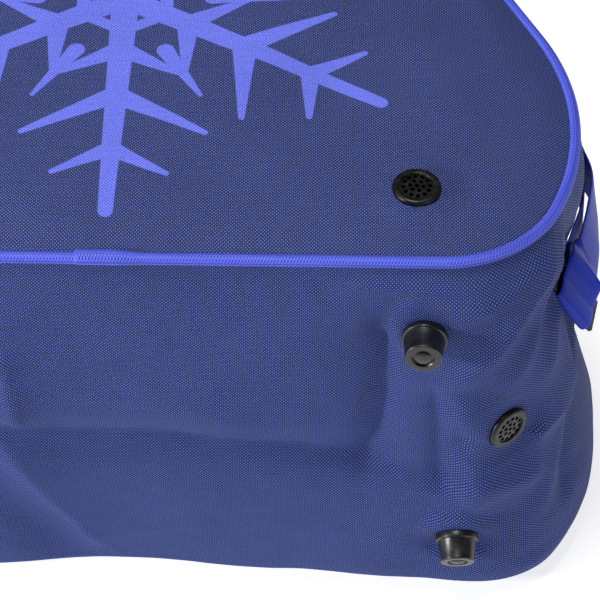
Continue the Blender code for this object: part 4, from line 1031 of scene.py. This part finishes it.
def vent_meshes():
    """Eyelet in two forms: the round flange with its barrel, and the grille with 19 holes."""
    flange = [(7.1, 0.7), (7.1, 1.35)] + arc(7.6, 1.55, 0.45, 200, 90) + arc(8.9, 0.55, 1.55, 85, 8, 9)
    flange += [(10.5, 0.35), (10.4, 0.0), (8.0, 0.0), (8.0, -4.2), (7.1, -4.2), (7.1, 0.7)]
    ring = turned("eyelet_flange", flange)
    disc = [(0.0, 0.4), (7.3, 0.4), (7.3, 1.25), (5.0, 1.55), (2.5, 1.7), (0.0, 1.75)]
    blank = bpy.data.objects.new("grille_blank", turned("grille_blank", disc, 48))
    drills = bmesh.new()
    for radius, holes in GRILLE_RINGS:
        for k in range(holes):
            turn = math.tau * (k + 0.5) / holes
            place = Matrix.Translation((radius * math.cos(turn), radius * math.sin(turn), 0))
            bmesh.ops.create_cone(drills, cap_ends=True, segments=16, radius1=GRILLE_HOLE,
                                  radius2=GRILLE_HOLE, depth=6 * MM, matrix=place)
    drill_mesh = bpy.data.meshes.new("grille_drill")
    drills.to_mesh(drill_mesh)
    drills.free()
    drill = bpy.data.objects.new("grille_drill", drill_mesh)
    for obj in (blank, drill):
        bpy.context.scene.collection.objects.link(obj)
    cut = blank.modifiers.new("holes", "BOOLEAN")
    cut.operation = "DIFFERENCE"
    cut.object = drill
    bpy.context.view_layer.update()
    grille = bpy.data.meshes.new_from_object(blank.evaluated_get(bpy.context.evaluated_depsgraph_get()))
    grille.name = "eyelet_grille"
    for obj in (blank, drill):
        bpy.data.objects.remove(obj)
    return ring, grille


def foot_mesh():
    """Bumper foot: flange, stepped and tapered body, and an end face with a groove round a domed button."""
    profile = [(0.0, 0.0), (9.9, 0.0), (10.0, 0.4)] + arc(9.3, 2.3, 0.7, 0, 90)
    profile += [(9.0, 3.05), (8.9, 3.3), (7.9, 11.9)] + arc(7.2, 12.3, 0.7, 5, 90, 6)
    profile += [(5.3, 12.95)] + arc(4.9, 12.6, 0.35, 80, 10, 3) + [(4.7, 12.0), (4.0, 12.0)]
    profile += arc(3.5, 12.3, 0.5, 190, 110, 3) + [(2.5, 13.2), (1.3, 13.5), (0.0, 13.55)]
    return turned("bumper_foot", profile)


def make_fittings():
    """Eyelets and feet on their seats."""
    ring, grille = vent_meshes()
    foot = foot_mesh()
    for node, (seat, axis, _) in FITTINGS.items():
        place = standing(seat, axis)
        if node.startswith("foot"):
            piece(node + "_moulding", foot, foot_plastic, [node], 38, place)
        else:
            piece(node + "_flange", ring, black_fitting, [node], 50, place)
            piece(node + "_grille", grille, black_fitting, [], 40, place)


# Webbing

def loop_point(along, depth, lift, roll, sign):
    """A point off the wall and the way that the webbing's width runs there."""
    frames = wall_frames(np.array([sign * along]), np.array([depth]), STRAP_STEP, strap_wall)
    point, _, down, normal = (values[0] for values in frames)
    turn = math.radians(roll)
    centre = point + normal * (STRAP_LIFT + lift * STRAP_STANDOFF)
    return centre, down * math.cos(turn) + normal * math.sin(turn)


def slide_frame(sign):
    """Centre, width way, way up the strap and outward way of a slide."""
    centre, way = loop_point(*SLIDE_PLACE, sign)
    up = loop_point(*LOOP_OUTER[-1], sign)[0] - centre
    up -= way * (up @ way)
    up /= np.linalg.norm(up)
    outward = np.cross(up, way)
    return centre, way, up, outward * math.copysign(1.0, outward[0] * sign)


BOX_START, BOX_END, BOX_HALF = 3 * MM, 21 * MM, 9.5 * MM


def box_stitch(run, centres, ways, normals):
    """Lines of a sewn box with its cross at the start of a run of webbing."""
    corners = ((BOX_START, -BOX_HALF), (BOX_END, -BOX_HALF), (BOX_END, BOX_HALF), (BOX_START, BOX_HALF),
               (BOX_START, -BOX_HALF), (BOX_END, BOX_HALF), (BOX_END, -BOX_HALF), (BOX_START, BOX_HALF))
    lines = []
    for start, stop in zip(corners, corners[1:]):
        t = np.linspace(0, 1, 9)[:, None]
        flat = np.array(start) * (1 - t) + np.array(stop) * t
        middle, way, lift = (np.stack([np.interp(flat[:, 0], run, rows[:, k]) for k in range(3)], -1)
                             for rows in (centres, ways, normals))
        lines.append((middle + way * flat[:, 1:] + lift * WEBBING_THICKNESS / 2, lift))
    return lines


def unit(ways):
    """The same ways with a length of 1."""
    return ways / np.linalg.norm(ways, axis=-1, keepdims=True)


SLIDE_CLEARANCE = 0.3 * MM
SLIDE_TURN_CLEARANCE = 0.5 * MM
SLIDE_TURN_BEND = 0.4 * MM


def make_strap_loop(side, sign):
    """Webbing loop: down over the slide's bars, round the lowest one and back up behind."""
    centre, way, up, outward = slide_frame(sign)
    bar = (SLIDE_HEIGHT - SLIDE_BAR) / 2
    clear = (SLIDE_THICKNESS + WEBBING_THICKNESS) / 2 + SLIDE_CLEARANCE
    below = bar + (SLIDE_BAR + WEBBING_THICKNESS) / 2 + SLIDE_TURN_CLEARANCE
    around = (
        (2.0 * bar, 1.9 * clear), (bar, 1.25 * clear), (0.35 * bar, clear), (0.0, 0.86 * clear),
        (-0.35 * bar, clear), (-bar, clear), (-below + SLIDE_TURN_BEND, 0.75 * clear), (-below, 0.0),
        (-below + SLIDE_TURN_BEND, -0.75 * clear), (-bar, -clear), (0.0, -clear), (bar, -clear),
        (1.6 * bar, -1.1 * clear),
    )
    places = [loop_point(*row, sign) for row in LOOP_OUTER]
    places += [(centre + up * rise + outward * out, way) for rise, out in around]
    places += [loop_point(*row, sign) for row in LOOP_INNER]
    route = smooth_route([np.concatenate(place) for place in places], 10)
    name = f"strap_loop_{side}_webbing"
    mesh = ribbon_mesh(name, route[:, :3], route[:, 3:], WEBBING_WIDTH, WEBBING_THICKNESS)
    piece(name, mesh, strap_webbing, [f"strap_loop_{side}"], 50)
    centres, ways = route[:40, :3], route[:40, 3:]
    outward = unit(np.cross(np.gradient(centres, axis=0), ways))
    outward *= np.sign(outward[:, :1] * sign)
    lines = box_stitch(distances(centres), centres, unit(ways), outward)
    make_stitches(f"strap_loop_{side}_stitches", lines, strap_thread)


def make_slide(side, sign):
    """Three-bar slide: a rounded plate with two slots."""
    centre, way, up, _ = slide_frame(sign)
    half = SLIDE_LENGTH / 2
    xs = (-half, -half + SLIDE_RAIL, half - SLIDE_RAIL, half)
    tall = SLIDE_HEIGHT / 2
    ys = (-tall, -tall + SLIDE_BAR, -SLIDE_BAR / 2, SLIDE_BAR / 2, tall - SLIDE_BAR, tall)
    bm = bmesh.new()
    verts = [[bm.verts.new((x, y, -SLIDE_THICKNESS / 2)) for x in xs] for y in ys]
    for j in range(5):
        for i in range(3):
            if i != 1 or j not in (1, 3):
                bm.faces.new((verts[j][i], verts[j][i + 1], verts[j + 1][i + 1], verts[j + 1][i]))
    solid = bmesh.ops.extrude_face_region(bm, geom=bm.faces[:])
    for item in solid["geom"]:
        if isinstance(item, bmesh.types.BMVert):
            item.co.z += SLIDE_THICKNESS
    bmesh.ops.recalc_face_normals(bm, faces=bm.faces[:])
    name = f"strap_slider_{side}_moulding"
    mesh = bpy.data.meshes.new(name)
    bm.to_mesh(mesh)
    bm.free()
    axes = Matrix((way, up, np.cross(way, up))).transposed().to_4x4()
    made = piece(name, mesh, black_fitting, [f"strap_slider_{side}"], 35,
                 Matrix.Translation(Vector(centre)) @ axes)
    round_edges(made, 0.8 * MM)


def make_shoulder_strap():
    """Webbing that lies over the flanks and top from loop to loop."""
    curve = smooth_route(STRAP_ROUTE, 8)
    half = np.linspace(STRAP_ROUTE[0][0], 1.0, 170)
    depths = np.interp(half, curve[:, 0], curve[:, 1])
    around = np.concatenate((half, 2 - half[-2::-1]))
    depths = np.concatenate((depths, depths[-2::-1]))
    points, _, _, normals = wall_frames(around, depths, STRAP_STEP)
    centres = points + normals * STRAP_LIFT
    ways = unit(np.cross(normals, np.gradient(centres, axis=0)))
    mesh = ribbon_mesh("shoulder_strap_webbing", centres, ways, WEBBING_WIDTH, WEBBING_THICKNESS)
    piece("shoulder_strap_webbing", mesh, strap_webbing, ["shoulder_strap"], 50)
    lines = []
    for step in (1, -1):
        ends = centres[::step], ways[::step], normals[::step]
        lines += box_stitch(distances(ends[0]), *ends)
    make_stitches("shoulder_strap_stitches", lines, strap_thread)


def make_handle():
    """Carry handle, sewn flat to the top at both ends and arched between them."""
    right = list(HANDLE_SHAPE)
    shape = [(-place, rise) for place, rise in right] + right[-2::-1]
    depth = HANDLE_DEPTH / BAG_DEPTH
    edge = WEBBING_WIDTH / 2 / BAG_DEPTH
    centres = []
    for place, rise in smooth_route(shape, 10):
        along = 1.0 - abs(place) * HANDLE_SPAN / 2 / HALF_OUTLINE
        beside = wall(np.full(3, along), depth + np.array((-edge, 0.0, edge)))
        rise = max(float(rise), 0.0) * HANDLE_RISE
        centres.append((place * HANDLE_SPAN / 2, beside[:, 1].max() + STRAP_LIFT + rise, beside[1, 2]))
    centres = np.array(centres)
    ways = np.tile((0.0, 0.0, 1.0), (len(centres), 1))
    normals = np.tile((0.0, 1.0, 0.0), (len(centres), 1))
    mesh = ribbon_mesh("carry_handle_webbing", centres, ways, WEBBING_WIDTH, WEBBING_THICKNESS)
    piece("carry_handle_webbing", mesh, strap_webbing, ["carry_handle"], 50)
    lines = []
    for step in (1, -1):
        end = centres[::step]
        lines += box_stitch(HANDLE_SPAN / 2 + step * end[:, 0], end, ways, normals)
    make_stitches("handle_stitches", lines, strap_thread)


# Zip

# One tooth: how far it stands off the middle of the zip and off the tape, and its length, width and height
TOOTH_PLACE = (1.1 * MM, 1.25 * MM)
TOOTH_SIZE = (3.9 * MM, 0.72 * MM, 1.5 * MM)
TAPE_THICKNESS = 1.0 * MM


def make_zip():
    """Knitted tape with two rows of coil teeth, two sliders and their pulls."""
    a, d = np.meshgrid(np.linspace(SPLIT, 2 - SPLIT, 300), np.linspace(TAPE_LOW, TAPE_HIGH, 9))
    flat = np.stack((a * HALF_OUTLINE, d * BAG_DEPTH), -1)
    mesh = grid_mesh("zip_tape_cloth", wall(a, d), flat)
    thicken(piece("zip_tape_cloth", mesh, zip_tape_cloth, ["zip_tape"]), TAPE_THICKNESS)
    count = int(2 * (1 - SPLIT) * HALF_OUTLINE / TOOTH_PITCH)
    around = SPLIT + (np.arange(count) + 0.5) * TOOTH_PITCH / HALF_OUTLINE
    aside, lift = TOOTH_PLACE
    length, width, height = TOOTH_SIZE
    places = []
    for point, run, down, normal in zip(*wall_frames(around, np.full(count, ZIP_DEPTH / BAG_DEPTH))):
        for way in (-1, 1):
            centre = point + way * (run * TOOTH_PITCH / 4 + down * aside) + normal * lift
            places.append((centre, (down * length, run * width, normal * height)))
    piece("zip_coil_teeth", copies_mesh("zip_coil_teeth", *capsule(8), places), coil_nylon,
          ["zip_coil"])
    for side in ("right", "left"):
        for node in (f"zip_slider_{side}", f"zip_pull_{side}"):
            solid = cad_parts[node]
            solid.data.materials.clear()
            solid.data.materials.append(slider_enamel)


# Studio

FLOOR_REACH = 4.0
FLOOR_DROP = 0.3 * MM
FLOOR_GLOW = 0.75
WORLD_LIGHT = 0.10
# Soft boxes: place, diameter in metres and power in watts
SOFTBOXES = (
    ("key_softbox", (-1.25, -0.75, 0.60), 0.25, 19.0),
    ("top_softbox", (-0.05, -0.20, 1.45), 0.4, 11.5),
    ("right_fill", (0.85, -0.82, 0.20), 0.3, 1.5),
)
SOFTBOX_AIM = Vector((0.05, -0.05, 0.12))
CAMERA_ELEVATION = math.radians(48.0)
CAMERA_AZIMUTH = math.radians(0.99)
CAMERA_TARGET = Vector((0.0845, BASE_Y - 0.0142, FRONT_SEAM_Z - 0.0087))
CAMERA_DISTANCE = 1.0
CAMERA_LENS = 145


def show(name, data):
    """Put an object of the studio in the scene."""
    made = bpy.data.objects.new(name, data)
    bpy.context.scene.collection.objects.link(made)
    return made


def make_floor():
    """Pale sheet that glows a little, so that it stays white all round the bag."""
    card, tree, shader = surface("lit_white_acrylic", Roughness=0.9, Emission_Strength=FLOOR_GLOW,
                                 Emission_Color=linear("#ffffff"), Specular_IOR_Level=0.0)
    speck = add(tree, "TexNoise", {"Scale": 60.0, "Detail": 3.0})
    tint = add(tree, "Mix", {0: speck, 6: linear("#c8c8c8"), 7: linear("#cccccc")}, data_type="RGBA")
    feed(tree, shader, {"Base Color": tint})
    plane = bpy.data.meshes.new("floor")
    corners = [(x * FLOOR_REACH, y * FLOOR_REACH, 0) for x, y in ((-1, -1), (1, -1), (1, 1), (-1, 1))]
    plane.from_pydata(corners, [], [(0, 1, 2, 3)])
    plane.materials.append(card)
    floor = show("floor", plane)
    floor.location.z = -FLOOR_DROP


def make_world():
    """Weak white light from all round, seen as plain white beyond the floor."""
    world = bpy.data.worlds.new("studio")
    bpy.context.scene.world = world
    world.use_nodes = True
    tree = world.node_tree
    seen = add(tree, "LightPath").outputs["Is Camera Ray"]
    glow = add(tree, "MapRange", {"Value": seen, "To Min": WORLD_LIGHT, "To Max": 1.0})
    feed(tree, tree.nodes["Background"], {"Color": linear("#ffffff"), "Strength": glow})


def make_lights():
    """Soft boxes that rake the folds from the left and fill the rest."""
    for name, place, size, watts in SOFTBOXES:
        lamp = bpy.data.lights.new(name, "AREA")
        lamp.shape = "DISK"
        lamp.size = size
        lamp.energy = watts
        box = show(name, lamp)
        box.location = place
        box.rotation_euler = (Vector(place) - SOFTBOX_AIM).to_track_quat("Z", "Y").to_euler()


def make_camera():
    """Camera at the photograph's angle."""
    level = math.cos(CAMERA_ELEVATION)
    back = Vector((math.sin(CAMERA_AZIMUTH) * level, -math.cos(CAMERA_AZIMUTH) * level,
                   math.sin(CAMERA_ELEVATION)))
    lens = bpy.data.cameras.new("camera")
    lens.lens = CAMERA_LENS
    lens.sensor_width = 36
    camera = show("camera", lens)
    camera.location = CAMERA_TARGET + back * CAMERA_DISTANCE
    camera.rotation_euler = back.to_track_quat("Z", "Y").to_euler()
    bpy.context.scene.camera = camera
    bpy.context.scene.view_settings.view_transform = "Standard"


make_walls()
make_front_panel()
make_back_panel()
make_piping("piping_front_braid", "piping_front", 0.0, 0.34 * MM, 24, True)
make_piping("piping_back_braid", "piping_back", 1.0, 0.45 * MM, 20, False)
make_fittings()
for side, sign in (("right", 1), ("left", -1)):
    make_strap_loop(side, sign)
    make_slide(side, sign)
make_shoulder_strap()
make_handle()
make_zip()
make_floor()
make_world()
make_lights()
make_camera()
